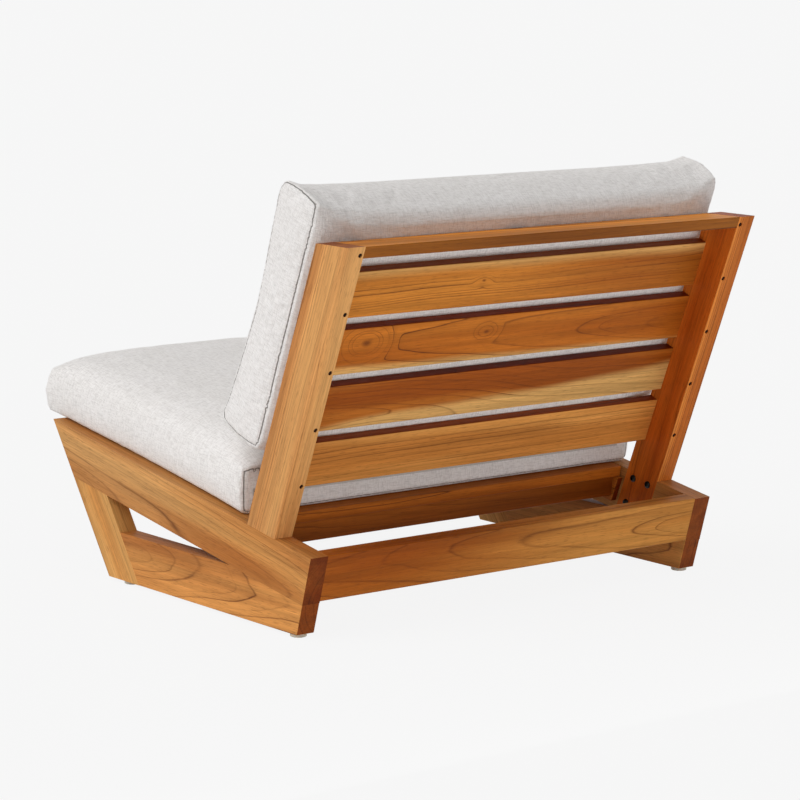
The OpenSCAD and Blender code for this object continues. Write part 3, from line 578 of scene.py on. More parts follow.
# The top rail's wood is painted darker, as painted shade on its rear edge, and its top face far lighter, as
# painted light from above
top_wood = teak("oiled teak, top rail", middle(top_view, 0), (-1, 0, 0), (0, 0, 1), 41.0, tone="#A4621E",
                deep="#7C440C", pith=(-0.05, 0.03), tilt=(1.2, 0.5), ring=0.005,
                painted_light_by_facing=((0, 0, 1), (2.1, 2.35, 2.9, 1)))
board("teak_top_rail", [(top_view, -inner_x, inner_x)], top_wood, ["back_top_rail"], end_seams=True)

# Rear crossbar
# A 75 by 27 mm teak bar between the rails' rear ends, dowelled, its rear face flush with theirs;
# flat sawn, with a dark swirl to the left, deepened there by painted shade from the rail and post,
# and a paler, straighter end to the right.
bar_view = [bar_low_rear, bar_top_rear, bar_top_front, bar_low_front]
bar_out = Vector((0, (bar_top_rear - bar_low_rear).y, -(bar_top_rear - bar_low_rear).x)).normalized()
bar_wood = teak("oiled teak, crossbar", middle(bar_view, 0), (-1, 0, 0), bar_out, 52.4, tone="#D09046",
                deep="#AC6A2A", pith=(-0.03, 0.006), tilt=(3.6, 0.4), ring=0.0085, wander=0.03,
                tone_and_painted_light_along=(0.2, -0.25, (0.7, 0.46, 0.24, 1)))
board("teak_rear_crossbar", [(bar_view, -inner_x, inner_x)], bar_wood, ["rear_crossbar"], end_seams=True)

# Seat deck
# Seven 60 by 18 mm teak slats across the seat, screwed down on ledgers that are screwed to the
# rails; a beam stands on edge under the first and the last slat.
slat_end_x = 0.367
ledger_x = 0.356
ledger_mid_x = 0.362
screw_hole = 0.0021
screw_hole_rim = 0.0042
through_slat = 0.03
into_ledger = 0.01
slat_screw_tops = [end_of(g, rail_up) for g in islands("seat_slat_screws")]
ledger_screw_tops = [end_of(g, Vector((-math.copysign(1, g[0].x), 0, 0)))
                     for g in islands("ledger_screws")]
for i in range(1, 8):
    view = side_view(f"seat_slat_{i}", slat_end_x)
    centre = middle(view, 0)
    seat_wood = teak(f"oiled teak, seat slat {i}", centre, (-1, 0, 0), rail_up, 60.1 + 2.9 * i,
                     tone="#B8661E", deep="#944A10", pith=(-0.02 - 0.01 * (i % 3), 0.03 * (i % 4) - 0.04),
                     tilt=(1.5 * (i % 3) - 1.2, 0.5), ring=0.0058)
    holes = drills([(p, -rail_up, screw_hole, through_slat, screw_hole_rim) for p in slat_screw_tops
                    if abs((p - centre).dot(rail_forward)) < 0.02])
    board(f"teak_seat_slat_{i}", [(view, -slat_end_x, slat_end_x)], seat_wood, [f"seat_slat_{i}"],
          cutters=[holes])
for end in ("front", "rear"):
    view = side_view(f"seat_{end}_beam", ledger_x)
    beam_wood = teak(f"oiled teak, {end} beam", middle(view, 0), (-1, 0, 0), -rail_forward, 83.0 + len(end),
                     tone="#AA5E1E", deep="#8A4410", pith=(-0.05, 0.03), tilt=(1.0, 0.7), ring=0.006)
    board(f"teak_{end}_beam", [(view, -ledger_x, ledger_x)], beam_wood, [f"seat_{end}_beam"],
          end_seams=True)
for side, sign in SIDES.items():
    view = side_view(f"seat_ledger_{side}", sign * ledger_x)
    ledger_wood = teak(f"oiled teak, ledger {side}", middle(view, sign * ledger_mid_x), rail_forward,
                       (-sign, 0, 0), 91.0 + sign, tone="#BE7028", deep="#9C5418", pith=(-0.04, 0.05),
                       tilt=(0.8, 0.2))
    holes = drills([(p, Vector((sign, 0, 0)), screw_hole, into_ledger, screw_hole_rim)
                    for p in ledger_screw_tops if p.x * sign > 0])
    board(f"teak_ledger_{side}", [(view, *between(sign, ledger_x, inner_x))], ledger_wood,
          [f"seat_ledger_{side}"], cutters=[holes])

# Pins, bolts and screws
# Teak pins end just below the posts' rear edges; black dome-head socket bolts clamp the posts to the
# rails; zinc-plated countersunk screws hold the deck. Each is set where the CAD's own is.


def metal(name, code, rough, metallic=1.0):
    """Steel under a thin finish, or a moulded plastic where metallic is 0: the finish gives the tint,
    and handling gives uneven gloss."""
    material, tree, surface = new_finish(name)
    surface.inputs["Metallic"].default_value = metallic
    where = add(tree, "ShaderNodeTexCoord", {})
    marks = add(tree, "ShaderNodeTexNoise", {
        "Vector": where.outputs["Object"], "Scale": 900, "Detail": 3})
    uneven = add(tree, "ShaderNodeMapRange", {
        "Value": marks.outputs[0], 1: 0.3, 2: 0.7, 3: 0.82, 4: 1.12})
    tint = add(tree, "ShaderNodeMix", {0: 1.0, 6: colour(code), 7: uneven.outputs[0]}, data_type="RGBA",
               blend_type="MULTIPLY")
    tree.links.new(tint.outputs[2], surface.inputs["Base Color"])
    gloss = add(tree, "ShaderNodeMapRange", {
        "Value": marks.outputs[0], 1: 0.3, 2: 0.7, 3: rough * 0.8, 4: rough * 1.25})
    tree.links.new(gloss.outputs[0], surface.inputs["Roughness"])
    relief = add(tree, "ShaderNodeBump", {
        "Height": marks.outputs[0], "Strength": 0.15, "Distance": 0.0001})
    tree.links.new(relief.outputs[0], surface.inputs["Normal"])
    return material


def turned(profile, socket=None, sides=24):
    """A round piece about Z from (radius, height) steps, for a fastener of unit diameter. A socket is
    its sides, its radius and its depth below the last step."""
    bm = bmesh.new()
    rings = []
    for radius, height in profile:
        rings.append([bm.verts.new((radius * math.cos(math.tau * k / sides),
                                    radius * math.sin(math.tau * k / sides), height))
                      for k in range(sides)])
    for low, high in zip(rings, rings[1:]):
        for k in range(sides):
            j = (k + 1) % sides
            bm.faces.new((low[k], low[j], high[j], high[k]))
    bm.faces.new(rings[0][::-1])
    if socket:
        corners_of_socket, reach, depth = socket
        rim, floor_ring = [], []
        for k in range(sides):
            turn = math.tau * k / sides
            if corners_of_socket == 4:
                wide = reach if k % (sides // 4) < 2 or k % (sides // 4) > sides // 4 - 2 else reach * 0.42
            else:
                slice_of = math.tau / corners_of_socket
                wide = reach * math.cos(slice_of / 2) / math.cos((turn % slice_of) - slice_of / 2)
            for ring, height in ((rim, profile[-1][1]), (floor_ring, profile[-1][1] - depth)):
                ring.append(bm.verts.new((wide * math.cos(turn), wide * math.sin(turn), height)))
        for k in range(sides):
            j = (k + 1) % sides
            bm.faces.new((rings[-1][k], rings[-1][j], rim[j], rim[k]))
            bm.faces.new((rim[k], rim[j], floor_ring[j], floor_ring[k]))
        bm.faces.new(floor_ring)
    else:
        bm.faces.new(rings[-1])
    bmesh.ops.recalc_face_normals(bm, faces=bm.faces)
    return bm


fastening = bpy.data.node_groups.new("fasteners", "GeometryNodeTree")
sockets = fastening.interface
for label, kind in (("Places", "NodeSocketGeometry"), ("Fastener", "NodeSocketObject"),
                    ("Diameter", "NodeSocketFloat"), ("Finish", "NodeSocketMaterial")):
    sockets.new_socket(label, in_out="INPUT", socket_type=kind)
sockets.new_socket("Set fasteners", in_out="OUTPUT", socket_type="NodeSocketGeometry")
given = fastening.nodes.new("NodeGroupInput")
way_in = add(fastening, "GeometryNodeInputNamedAttribute", {"Name": "way"}, data_type="FLOAT_VECTOR")
aimed = add(fastening, "FunctionNodeAlignRotationToVector", {"Vector": way_in.outputs[0]}, axis="Z")
spin = add(fastening, "FunctionNodeRandomValue", {2: 0.0, 3: math.tau, "Seed": 7}, data_type="FLOAT")
spun = add(fastening, "FunctionNodeAxisAngleToRotation", {"Axis": (0, 0, 1), "Angle": spin.outputs[1]})
turned_in = add(fastening, "FunctionNodeRotateRotation", {0: aimed.outputs[0], 1: spun.outputs[0]},
                rotation_space="LOCAL")
shape = add(fastening, "GeometryNodeObjectInfo", {"Object": given.outputs["Fastener"]})
set_in = add(fastening, "GeometryNodeInstanceOnPoints", {
    "Points": given.outputs["Places"], "Instance": shape.outputs["Geometry"],
    "Rotation": turned_in.outputs[0], "Scale": given.outputs["Diameter"]})
real = add(fastening, "GeometryNodeRealizeInstances", {0: set_in.outputs[0]})
finish = add(fastening, "GeometryNodeSetMaterial", {
    0: real.outputs[0], "Material": given.outputs["Finish"]})
add(fastening, "NodeGroupOutput", {0: finish.outputs[0]})


def fastened(name, places, pattern, diameter, material, slot, *nodes, body="frame"):
    """Sets one fastener pattern, pointing out of its ground, at each (place, way out)."""
    prototype = new_object("pattern", pattern)
    prototype.data.shade_smooth()
    prototype.data.set_sharp_from_angle(angle=sharp_edge)
    mesh = bpy.data.meshes.new(name)
    mesh.from_pydata([place for place, way in places], [], [])
    ways = mesh.attributes.new("way", "FLOAT_VECTOR", "POINT")
    for i, (place, way) in enumerate(places):
        ways.data[i].vector = way
    made = bpy.data.objects.new(name, mesh)
    scene.collection.objects.link(made)
    nodes_step = made.modifiers.new("fasteners", "NODES")
    nodes_step.node_group = fastening
    values = {"Fastener": prototype, "Diameter": diameter, "Finish": material}
    for socket in fastening.interface.items_tree:
        if socket.item_type == "SOCKET" and socket.in_out == "INPUT" and socket.name in values:
            nodes_step[socket.identifier] = values[socket.name]
    settled(made)
    bpy.data.objects.remove(prototype)
    return dressed(made, body, material, slot, *nodes)


black_steel = metal("black oxide steel", "#2A2826", 0.32)
zinc_steel = metal("zinc plated steel", "#B9B7B0", 0.3)
# The pins' near-black colour is their dark end grain together with painted shade of the holes they sit down
# in
pin_end_grain_and_painted_shade = teak("oiled teak pins, end grain", (0, 0.3, 0.4), (0, 0.3, 1), -post_forward, 77.7,
                tone="#241108", deep="#180B05", ring=0.0016, pith=(0, 0.001), lines=0.9)
pin_width = 0.0067
pin_sunk = 0.0014
fastened("teak_slat_pins", [(p + post_forward * pin_sunk, -post_forward) for p in pin_ends],
         turned([(0.5, -0.6), (0.5, -0.02), (0.47, 0.0)], sides=16), pin_width, pin_end_grain_and_painted_shade, "teak",
         "slat_pins", "top_rail_pins")
bolt_places = []
for group in islands("post_bolts"):
    outward = Vector((-math.copysign(1, group[0].x), 0, 0))
    bolt_places.append((Vector((-outward.x * inner_x, *end_of(group, -outward).yz)), outward))
bolt_head_width = 0.012
dome_rim = 0.045
dome = [(0.25, -0.8), (0.25, 0.0), (0.5, 0.0), (0.5, dome_rim)]
for angle in range(12, 61, 12):
    dome.append((0.5 * math.cos(math.radians(angle)), dome_rim + 0.27 * math.sin(math.radians(angle))))
fastened("bolts", bolt_places, turned(dome, socket=(6, 0.19, 0.16)), bolt_head_width, black_steel,
         "black_steel", "post_bolts")
screw_head_width = 0.008
deck_screw_sunk = 0.0004
ledger_screw_sunk = 0.0003
countersunk = [(0.22, -1.6), (0.25, -0.3), (0.49, -0.02), (0.5, 0.0)]
fastened("deck_screws", [(p - rail_up * deck_screw_sunk, rail_up) for p in slat_screw_tops],
         turned(countersunk, socket=(4, 0.26, 0.13)), screw_head_width, zinc_steel, "zinc_steel",
         "seat_slat_screws")
fastened("ledger_screws", [(p + Vector((math.copysign(ledger_screw_sunk, p.x), 0, 0)),
                            Vector((-math.copysign(1, p.x), 0, 0))) for p in ledger_screw_tops],
         turned(countersunk, socket=(4, 0.26, 0.13)), screw_head_width, zinc_steel, "zinc_steel",
         "ledger_screws")

# Glides, dowels and inserts
# Nylon buttons pinned under the frames' corners; beech dowels across the glued seams, steel sleeves
# for the bolts and the beams' screws, which all lie inside the wood.
def mottled(name, kind, inputs, tones, rough, lift, depth, output=0, **settings):
    """A finish whose two tones and slight relief follow one pattern through the piece."""
    material, tree, surface = new_finish(name)
    where = add(tree, "ShaderNodeTexCoord", {})
    pattern = add(tree, kind, {"Vector": where.outputs["Object"], **inputs}, **settings).outputs[output]
    tint = add(tree, "ShaderNodeMix", {0: pattern, 6: colour(tones[0]), 7: colour(tones[1])},
               data_type="RGBA")
    tree.links.new(tint.outputs[2], surface.inputs["Base Color"])
    surface.inputs["Roughness"].default_value = rough
    relief = add(tree, "ShaderNodeBump", {"Height": pattern, "Strength": lift, "Distance": depth})
    tree.links.new(relief.outputs[0], surface.inputs["Normal"])
    return material


# Moulded nylon has a faint cloudiness, and a little light goes into it
nylon = mottled("moulded nylon", "ShaderNodeTexNoise", {"Scale": 160, "Detail": 4},
                ("#CFC6B6", "#B9AE9C"), 0.45, 0.1, 0.0002)
surface = nylon.node_tree.nodes["Principled BSDF"]
surface.inputs["IOR"].default_value = 1.53
surface.inputs["Subsurface Weight"].default_value = 0.15
surface.inputs["Subsurface Scale"].default_value = 0.002


def rounded_copy(name, node, width, body, material, slot):
    """A copy of a CAD node whose edges are rounded."""
    bm = joined_copy(node)
    bmesh.ops.dissolve_limit(bm, angle_limit=math.radians(1), verts=bm.verts, edges=bm.edges)
    made = new_object(name, bm)
    settled(made, "BEVEL", limit_method="ANGLE", angle_limit=math.radians(32), width=width, segments=3)
    shaded(made)
    return dressed(made, body, material, slot, node)


for end in ("front", "rear"):
    for side in SIDES:
        rounded_copy(f"glide_{end}_{side}_button", f"glide_{end}_{side}", 0.0006, "frame", nylon, "nylon")
beech = teak("planed beech", (lap_x, 0, 0.1), (0, 1, 0), (1, 0, 0), 15.0, tone="#D9B98A", deep="#CDA873",
             line="#B88F5C", lines=0.3)
for node, material in (("frame_dowels_left", beech), ("frame_dowels_right", beech),
                       ("crossbar_dowels", beech), ("threaded_inserts", zinc_steel),
                       ("beam_screws", zinc_steel)):
    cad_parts[node].data.materials.clear()
    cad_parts[node].data.materials.append(material)

# Cushions
# Two loose foam cushions in zipped covers of pale heathered outdoor cloth, an acrylic canvas woven
# from grey and oatmeal yarns. The back's has sewn end panels and the seat's a sewn rear panel.
foot = Vector((0, *post_front_foot))
rail_end = Vector((0, *rail_top_end))
zip_mid = Vector((0, 0.144609, 0.192779))
zip_lean = math.radians(-1)
zip_out = Vector((0, math.cos(zip_lean), math.sin(zip_lean)))
zip_up = Vector((0, -zip_out.z, zip_out.y))
bearing = 0.082
clear = 0.0003
cushion_half = 0.39
end_reach = 0.2


def skin_of(node):
    """The outside of a CAD cushion: its solid without the hollow for the foam."""
    bm = joined_copy(node)
    groups = sorted(solids_in(bm), key=lambda g: max(v.co.x for v in g))
    bmesh.ops.delete(bm, geom=[v for g in groups[:-1] for v in g], context="VERTS")
    bmesh.ops.recalc_face_normals(bm, faces=bm.faces)
    return bm


def points_of(mesh):
    """A mesh's points, as an array."""
    flat = np.empty(len(mesh.vertices) * 3, np.float32)
    mesh.vertices.foreach_get("co", flat)
    return flat.reshape(-1, 3).astype(float)


def normals_of(mesh):
    """The way out of a mesh at each of its points."""
    flat = np.empty(len(mesh.vertices) * 3, np.float32)
    mesh.vertex_normals.foreach_get("vector", flat)
    return flat.reshape(-1, 3).astype(float)


def put(mesh, points):
    """Moves a mesh's points to new places."""
    mesh.vertices.foreach_set("co", points.astype(np.float32).ravel())
    mesh.update()


def faces_of(mesh):
    """A mesh's faces, to find the nearest place on them."""
    return BVHTree.FromPolygons([v.co for v in mesh.vertices], [list(f.vertices) for f in mesh.polygons])


def levelled(mesh, moved, rounds):
    """Moves averaged over each point's neighbours, again and again, so that only broad ones stay."""
    ends = np.empty(len(mesh.edges) * 2, np.int32)
    mesh.edges.foreach_get("vertices", ends)
    a, b = ends[0::2], ends[1::2]
    count = np.bincount(a, minlength=len(moved)) + np.bincount(b, minlength=len(moved))
    for _ in range(rounds):
        total = np.empty_like(moved)
        for axis in range(3):
            total[:, axis] = (np.bincount(a, moved[b, axis], len(moved))
                              + np.bincount(b, moved[a, axis], len(moved)))
        moved = (moved + total / count[:, None]) / 2
    return moved


def drawn_to(skin, points):
    """Moves points onto a skin where they are off it, as at its corners, and leaves the others."""
    noticed = 0.0008
    for i, p in enumerate(points):
        place = skin.find_nearest(Vector(p))[0]
        off = np.array(place) - p
        length = np.linalg.norm(off)
        points[i] += off * min(1, max(0, length / noticed - 0.5))
    return points


def stuffed(name, node, flatten):
    """Swells a cushion's skin under pressure as stuffing does, from a slightly smaller start and by
    no more than a cap. The cover keeps the cut of its panels, and the swelling gives its creases;
    then it is flattened where it rests on something."""
    start_in = 0.005
    cap = 0.012
    last_frame = 20
    crease_share = 0.5
    made = new_object(name, skin_of(node))
    cut = faces_of(made.data)
    settled(made, "REMESH", mode="VOXEL", voxel_size=0.0066)
    whole = points_of(made.data)
    creases = np.zeros_like(whole)
    start = whole - normals_of(made.data) * start_in
    put(made.data, start)
    cloth = made.modifiers.new("cover", "CLOTH")
    cover = cloth.settings
    cover.quality = 5
    cover.mass = 0.25
    cover.tension_stiffness = cover.compression_stiffness = 25
    cover.shear_stiffness = 12
    cover.bending_stiffness = 2.5
    cover.use_pressure = True
    cover.uniform_pressure_force = 4
    cover.effector_weights.gravity = 0
    cloth.point_cache.frame_start = 1
    cloth.point_cache.frame_end = last_frame
    for at in range(1, last_frame + 1):
        scene.frame_set(at)
    settled(made)
    scene.frame_set(1)
    moved = points_of(made.data) - start
    length = np.linalg.norm(moved, axis=1, keepdims=True)
    moved *= np.minimum(1, cap / np.maximum(length, 1e-9))
    creases = (moved - levelled(made.data, moved, 60)) * crease_share
    put(made.data, whole)
    kept = made.data.attributes.new("creases", "FLOAT_VECTOR", "POINT")
    kept.data.foreach_set("vector", creases.astype(np.float32).ravel())
    settled(made, "SUBSURF", levels=1, render_levels=1)
    kept = made.data.attributes["creases"]
    creases = np.empty(len(made.data.vertices) * 3, np.float32)
    kept.data.foreach_get("vector", creases)
    made.data.attributes.remove(kept)
    whole = drawn_to(cut, points_of(made.data))
    put(made.data, flatten(whole + creases.reshape(-1, 3)))
    return made


def seat_rests(p):
    """Keeps the seat cushion on the rails, under the back cushion and inside its zipped rear panel."""
    base, top = np.array(rail_up), np.array(post_up)
    height = (p - np.array(rail_end)) @ base
    p = p + np.outer(np.maximum(clear - height, 0), base)
    over = (p - np.array(foot)) @ top - bearing
    p = p - np.outer(np.maximum(over, 0), top)
    out = (p - np.array(zip_mid)) @ np.array(zip_out)
    return p - np.outer(np.maximum(out, 0), np.array(zip_out))


def back_rests(p):
    """Keeps the back cushion in front of the slats and on the seat cushion."""
    top, front = np.array(post_up), np.array(post_forward)
    low = (p - np.array(foot)) @ top
    p = p + np.outer(np.maximum(bearing + clear - low, 0), top)
    depth = (p - np.array(foot)) @ front
    return p + np.outer(np.maximum(clear - depth, 0), front)


def sewn(made, loops, flatten):
    """Draws the cover in along its seams, flattens it again and stores each point's distance from the
    nearest seam. A loop is its points in order and the way out of its panel, and a distance inside
    the panel is negative."""
    mesh = made.data
    points = points_of(mesh)
    hold = faces_of(mesh)
    stitch = 0.0015
    far = 0.05
    stitches, middles, ways = [], [], []
    for loop, way in loops:
        dense = []
        for a, b in zip(loop, loop[1:] + loop[:1]):
            count = max(2, int((b - a).length / stitch))
            dense += [a + (b - a) * k / count for k in range(count)]
        dense = [hold.find_nearest(p)[0] for p in dense]
        centre = sum(dense, Vector()) / len(dense)
        stitches += dense
        middles += [centre] * len(dense)
        ways += [way] * len(dense)
    tree = KDTree(len(stitches))
    for i, p in enumerate(stitches):
        tree.insert(p, i)
    tree.balance()
    normals = normals_of(mesh)
    distance = np.full(len(points), far)
    for i, p in enumerate(points):
        place, which, off = tree.find(Vector(p))
        if off < far:
            away = Vector(p) - place
            inward = (middles[which] - place).normalized()
            distance[i] = off if away.dot(ways[which]) + away.dot(inward) < 0 else -off
    size = np.abs(distance)
    fold = -0.0017 * np.exp(-(size / 0.0021) ** 2)
    swell_beside = 0.0006 * np.exp(-((size - 0.0055) / 0.0025) ** 2)
    put(mesh, flatten(points + normals * (fold + swell_beside)[:, None]))
    stored = mesh.attributes.new("seam", "FLOAT", "POINT")
    stored.data.foreach_set("value", distance.astype(np.float32))


def threads(made, panels):
    """Lays the cloth's threads: each face takes the panel that suits the way it faces, and the panel
    gives the thread coordinates in metres."""
    mesh = made.data
    points = points_of(mesh)
    count = len(mesh.polygons)
    facing = np.empty(count * 3, np.float32)
    mesh.polygons.foreach_get("normal", facing)
    chosen = panels(facing.reshape(-1, 3))
    corner_vertex = np.empty(len(mesh.loops), np.int32)
    mesh.loops.foreach_get("vertex_index", corner_vertex)
    totals = np.empty(count, np.int32)
    mesh.polygons.foreach_get("loop_total", totals)
    corner_panel = np.repeat(chosen[0], totals)
    place = points[corner_vertex]
    laid = np.zeros((len(corner_vertex), 2))
    for which, (u, v) in enumerate(chosen[1]):
        on = corner_panel == which
        laid[on, 0] = u(place[on])
        laid[on, 1] = v(place[on])
    layer = mesh.uv_layers.new(name="threads")
    layer.data.foreach_set("uv", laid.astype(np.float32).ravel())


def cloth(name, pale, grey, oat):
    """Heathered acrylic canvas: thin and thick yarns cross, so flecks run both ways along the threads.
    The real threads are 0.6 mm apart; the flecks are drawn 1.8 mm wide, which is as fine as shows."""
    material, tree, surface = new_finish(name)
    laid = add(tree, "ShaderNodeTexCoord", {}).outputs["UV"]
    flecks = {}
    for kind, scale in (("warp", (620, 80, 1)), ("weft", (80, 620, 1)), ("warp slubs", (330, 40, 1)),
                        ("weft slubs", (40, 330, 1)), ("clouds", (9, 9, 1))):
        stretched = add(tree, "ShaderNodeVectorMath", {0: laid, 1: scale}, operation="MULTIPLY")
        flecks[kind] = add(tree, "ShaderNodeTexNoise", {
            "Vector": stretched.outputs[0], "Scale": 1, "Detail": 3, "Roughness": 0.6},
            noise_dimensions="2D").outputs[0]
    base = colour(pale)
    for kind, low, high, most, tint in (
            ("clouds", 0.35, 0.65, 0.15, oat),
            ("warp", 0.48, 0.66, 0.4, grey), ("weft", 0.48, 0.66, 0.4, grey),
            ("warp slubs", 0.56, 0.7, 0.25, grey), ("weft slubs", 0.56, 0.7, 0.25, grey)):
        share = add(tree, "ShaderNodeMapRange", {"Value": flecks[kind], 1: low, 2: high, 3: 0, 4: most})
        base = add(tree, "ShaderNodeMix", {0: share.outputs[0], 6: base, 7: colour(tint)},
                   data_type="RGBA").outputs[2]

    # Along a seam the cloth is drawn in, and its fold is darkened with painted shadow
    seam = add(tree, "ShaderNodeAttribute", {}, attribute_name="seam").outputs["Fac"]
    near = add(tree, "ShaderNodeMath", {0: seam}, operation="ABSOLUTE").outputs[0]
    fold = add(tree, "ShaderNodeMapRange", {"Value": near, 1: 0.0004, 2: 0.0016, 3: 0.72, 4: 0},
               interpolation_type="SMOOTHSTEP")
    base = add(tree, "ShaderNodeMix", {0: fold.outputs[0], 6: base, 7: colour("#6E665C")}, data_type="RGBA")
    tree.links.new(base.outputs[2], surface.inputs["Base Color"])
    surface.inputs["Roughness"].default_value = 0.92
    surface.inputs["Specular IOR Level"].default_value = 0.25
    surface.inputs["Sheen Weight"].default_value = 0.12
    surface.inputs["Sheen Roughness"].default_value = 0.5
    lift = add(tree, "ShaderNodeMath", {0: flecks["warp"], 1: flecks["weft"]}, operation="MAXIMUM")
    sunk = add(tree, "ShaderNodeMapRange", {"Value": near, 1: 0, 2: 0.0014, 3: -1.2, 4: 0},
               interpolation_type="SMOOTHSTEP")
    lift = add(tree, "ShaderNodeMath", {0: lift.outputs[0], 1: sunk.outputs[0]}, operation="ADD")
    relief = add(tree, "ShaderNodeBump", {"Height": lift.outputs[0], "Strength": 1.0, "Distance": 0.0016})
    tree.links.new(relief.outputs[0], surface.inputs["Normal"])
    return material


def by_post(p):
    """Places across the chair, up the back posts and forward of them."""
    off = p - np.array(foot)
    return p[:, 0], off @ np.array(post_up), off @ np.array(post_forward)


canvas = cloth("heathered acrylic canvas", "#FBF8F6", "#CCC7C3", "#E4DFD8")
back = stuffed("back_cushion_cover", "back_cushion", back_rests)


def back_place(x, a, d):
    """The place across the chair, up the back posts and forward of them."""
    return foot + Vector((x, 0, 0)) + post_up * a + post_forward * d


def spread(made, left, right, behind=None):
    """Pushes the cover's ends out sideways by what the stuffing gives it, and, where a place and a
    way are given, most near that place and less along the way."""
    fades_over = 0.3
    points = points_of(made.data)
    x = points[:, 0]
    share = np.clip((np.abs(x) - (cushion_half - end_reach)) / end_reach, 0, 1) ** 2
    if behind is not None:
        start, way = behind
        share *= np.clip(1 - ((points - np.array(start)) @ np.array(way)) / fades_over, 0, 1)
    points[:, 0] = x + np.where(x > 0, left, -right) * share
    put(made.data, points)


spread(back, 0.0, 0.007)
end_loop = [(0.130, 0.029), (0.300, 0.029), (0.500, 0.029), (0.516, 0.031), (0.518, 0.068), (0.518, 0.106),
            (0.514, 0.111), (0.500, 0.116), (0.460, 0.117), (0.400, 0.111), (0.300, 0.106), (0.200, 0.114),
            (0.126, 0.124), (0.113, 0.118), (0.111, 0.080), (0.113, 0.034)]
sewn(back, [([back_place(x, a, d) for a, d in end_loop], Vector((math.copysign(1, x), 0, 0)))
            for x in (0.393, -0.4)], back_rests)


def back_panels(facing):
    """End panels, and one panel that runs up the rear, over the top and down the front."""
    over_top = 0.518
    down_front = 1.14
    side, up_way, out = facing[:, 0], facing @ np.array(post_up), facing @ np.array(post_forward)
    main = np.where(np.abs(up_way) > np.abs(out), 1, np.where(out < 0, 2, 3))
    lay = [(lambda p: by_post(p)[2], lambda p: by_post(p)[1]),
           (lambda p: p[:, 0], lambda p: over_top + by_post(p)[2]),
           (lambda p: p[:, 0], lambda p: by_post(p)[1]),
           (lambda p: p[:, 0], lambda p: down_front - by_post(p)[1])]
    return np.where(np.abs(side) > 0.72, 0, main), lay


threads(back, back_panels)
back.data.shade_smooth()
dressed(back, "back_cushion", canvas, "cover_fabric", "back_cushion")

seat = stuffed("seat_cushion_cover", "seat_cushion", seat_rests)


def zip_place(x, level):
    """The place across the seat cushion's rear panel and above its zip."""
    return zip_mid + Vector((x, 0, 0)) + zip_up * level


spread(seat, 0.006, 0.016, (zip_mid, rail_forward))
rear_loop = [zip_place(x, level) for x, level in (
    (-0.392, -0.031), (0, -0.034), (0.383, -0.031), (0.384, 0), (0.383, 0.034), (0.2, 0.035), (0, 0.035),
    (-0.2, 0.035), (-0.392, 0.034), (-0.393, 0))]
sewn(seat, [(rear_loop, zip_out)], seat_rests)


def on_deck(p):
    """Places across the seat, forward along its rails and above them."""
    off = p - np.array(rail_end)
    return p[:, 0], off @ np.array(rail_forward), off @ np.array(rail_up)


def seat_panels(facing):
    """The rear panel, and one that covers the top and rolls down over the sides and the front."""
    over_side = 0.47
    down_front = 0.85
    side, ahead, high = facing[:, 0], facing @ np.array(rail_forward), facing @ np.array(rail_up)
    rear = (ahead < -0.72) & (np.abs(high) < 0.7)
    main = np.where(np.abs(high) > 0.707, 1, np.where(np.abs(side) > np.abs(ahead), 2, 3))
    lay = [(lambda p: p[:, 0], lambda p: on_deck(p)[2]),
           (lambda p: p[:, 0], lambda p: on_deck(p)[1]),
           (lambda p: np.sign(p[:, 0]) * (over_side - on_deck(p)[2]), lambda p: on_deck(p)[1]),
           (lambda p: p[:, 0], lambda p: down_front - on_deck(p)[2])]
    return np.where(rear, 0, main), lay


threads(seat, seat_panels)
seat.data.shade_smooth()
dressed(seat, "seat_cushion", canvas, "cover_fabric", "seat_cushion")

# Zip and foam
# A pale zip with dark teeth runs along the seat cover's rear panel: woven tape, moulded teeth in two
# staggered rows and a zinc slider, whose pull turns on its pin. Blocks of cut foam fill both covers.
zip_reach = 0.368
tape_edge = 0.0055
tape_gap = 0.0004
tape_back = 0.0004
tape_front = 0.0013

# Tape is woven on the slant, in ribs that catch the light in turn
tape_cloth = mottled(
    "woven polyester tape", "ShaderNodeTexWave", {"Scale": 480, "Distortion": 0.6, "Detail": 1},
    ("#B9B4AD", "#D2CEC8"), 0.85, 0.4, 0.0002, output=1, bands_direction="DIAGONAL")
bm = bmesh.new()
for low, high in ((-tape_edge, -tape_gap), (tape_gap, tape_edge)):
    ends = []
    for x in (-zip_reach, zip_reach):
        ends.append([bm.verts.new(zip_place(x, level) + zip_out * out) for level, out in (
            (low, tape_back), (high, tape_back), (high, tape_front), (low, tape_front))])
    bm.faces.new(ends[0])
    bm.faces.new(ends[1])
    for k in range(4):
        bm.faces.new((ends[0][k], ends[0][k - 1], ends[1][k - 1], ends[1][k]))
bmesh.ops.recalc_face_normals(bm, faces=bm.faces)
tape = new_object("zip_tape_halves", bm)
settled(tape, "BEVEL", limit_method="ANGLE", width=0.0003, segments=2)
dressed(tape, "seat_cushion", tape_cloth, "zip_tape", "zip_tape")
teeth_nylon = metal("moulded grey nylon teeth", "#4A4744", 0.4, metallic=0.0)
tooth_width = 0.0017
tooth_row = 0.0009
tooth_out = 0.0012
tooth = turned([(0.5, -0.2), (0.5, 0.2), (0.36, 0.42)], sides=8)
tooth_places = [(zip_place(x * 0.001, level) + zip_out * tooth_out, zip_out)
                for level, first in ((tooth_row, -366), (-tooth_row, -365)) for x in range(first, 367, 2)]
fastened("zip_teeth", tooth_places, tooth, tooth_width, teeth_nylon, "zip_tape", "zip_tape",
         body="seat_cushion")
rounded_copy("zip_slider_body", "zip_slider", 0.0004, "zip_slider", zinc_steel, "zinc_steel")
rounded_copy("zip_pull_tab", "zip_pull", 0.0003, "zip_pull", zinc_steel, "zinc_steel")

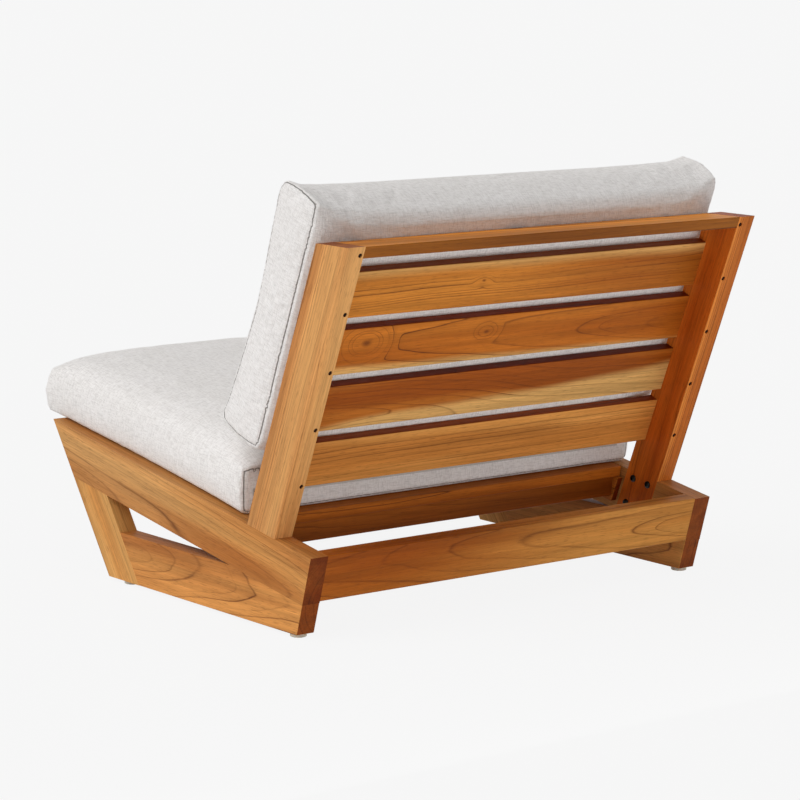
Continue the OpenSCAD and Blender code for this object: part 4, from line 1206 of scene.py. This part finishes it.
# Cut foam shows its open cells, paler at their walls than inside
foam = mottled("cut polyurethane foam", "ShaderNodeTexVoronoi", {"Scale": 700},
               ("#D8CBA0", "#F0E8CC"), 0.95, 0.6, 0.001)
for part in ("seat", "back"):
    rounded_copy(f"{part}_foam_block", f"{part}_foam_core", 0.006, f"{part}_cushion", foam, "foam")

# Floor and light
# A plain pale studio floor and background; a broad soft lamp, a low soft box behind the chair and
# the pale surround light it.
pale_ground = colour("#F8F8F8")


def shown_pale(tree, lit, pale, share):
    """Mixes a lit shader with a plain pale one for the camera and for what is mirrored or seen through."""
    rays = add(tree, "ShaderNodeLightPath", {})
    seen = add(tree, "ShaderNodeMath", {
        0: rays.outputs["Is Camera Ray"], 1: rays.outputs["Is Glossy Ray"]}, operation="MAXIMUM")
    seen = add(tree, "ShaderNodeMath", {0: seen.outputs[0], 1: rays.outputs["Is Transmission Ray"]},
               operation="MAXIMUM")
    part = add(tree, "ShaderNodeMath", {0: seen.outputs[0], 1: share}, operation="MULTIPLY")
    return add(tree, "ShaderNodeMixShader", {0: part.outputs[0], 1: lit, 2: pale}).outputs[0]


floor_paint = bpy.data.materials.new("matt white floor")
floor_paint.use_nodes = True
tree = floor_paint.node_tree
tree.nodes.clear()
matt = add(tree, "ShaderNodeBsdfDiffuse", {"Color": colour("#E8E8E8")})
plain = add(tree, "ShaderNodeEmission", {"Color": pale_ground, "Strength": 1.0})
add(tree, "ShaderNodeOutputMaterial", {0: shown_pale(tree, matt.outputs[0], plain.outputs[0], 0.95)})
bm = bmesh.new()
bmesh.ops.create_grid(bm, x_segments=1, y_segments=1, size=60)
floor = new_object("floor", bm)
floor.data.materials.append(floor_paint)

world = bpy.data.worlds.new("studio")
world.use_nodes = True
scene.world = world
tree = world.node_tree
tree.nodes.clear()
surround = add(tree, "ShaderNodeBackground", {"Color": (1, 1, 1, 1), "Strength": 0.47})
plain = add(tree, "ShaderNodeBackground", {"Color": pale_ground, "Strength": 1.0})
add(tree, "ShaderNodeOutputWorld", {0: shown_pale(tree, surround.outputs[0], plain.outputs[0], 1.0)})

key_data = bpy.data.lights.new("key lamp", "SUN")
key_data.energy = 1.6
key_data.angle = math.radians(50)
key = bpy.data.objects.new("key lamp", key_data)
key.rotation_mode = "QUATERNION"
key.rotation_quaternion = Vector((1.0, -0.3, 0.95)).to_track_quat("Z", "Y")
scene.collection.objects.link(key)

# A long soft box just above the floor behind the chair, aimed up at its back. It stands for the
# light that a pale sweep throws up, which reaches the slats but not between them
box_data = bpy.data.lights.new("low soft box", "AREA")
box_data.shape = "RECTANGLE"
box_data.size = 3.0
box_data.size_y = 0.25
box_data.energy = 4.1
box = bpy.data.objects.new("low soft box", box_data)
box.location = (0.1, 1.02, 0.12)
box.rotation_mode = "QUATERNION"
box.rotation_quaternion = (Vector(box.location) - Vector((0.1, 0.38, 0.48))).to_track_quat("Z", "Y")
box.visible_camera = False
scene.collection.objects.link(box)
scene.view_settings.view_transform = "Standard"
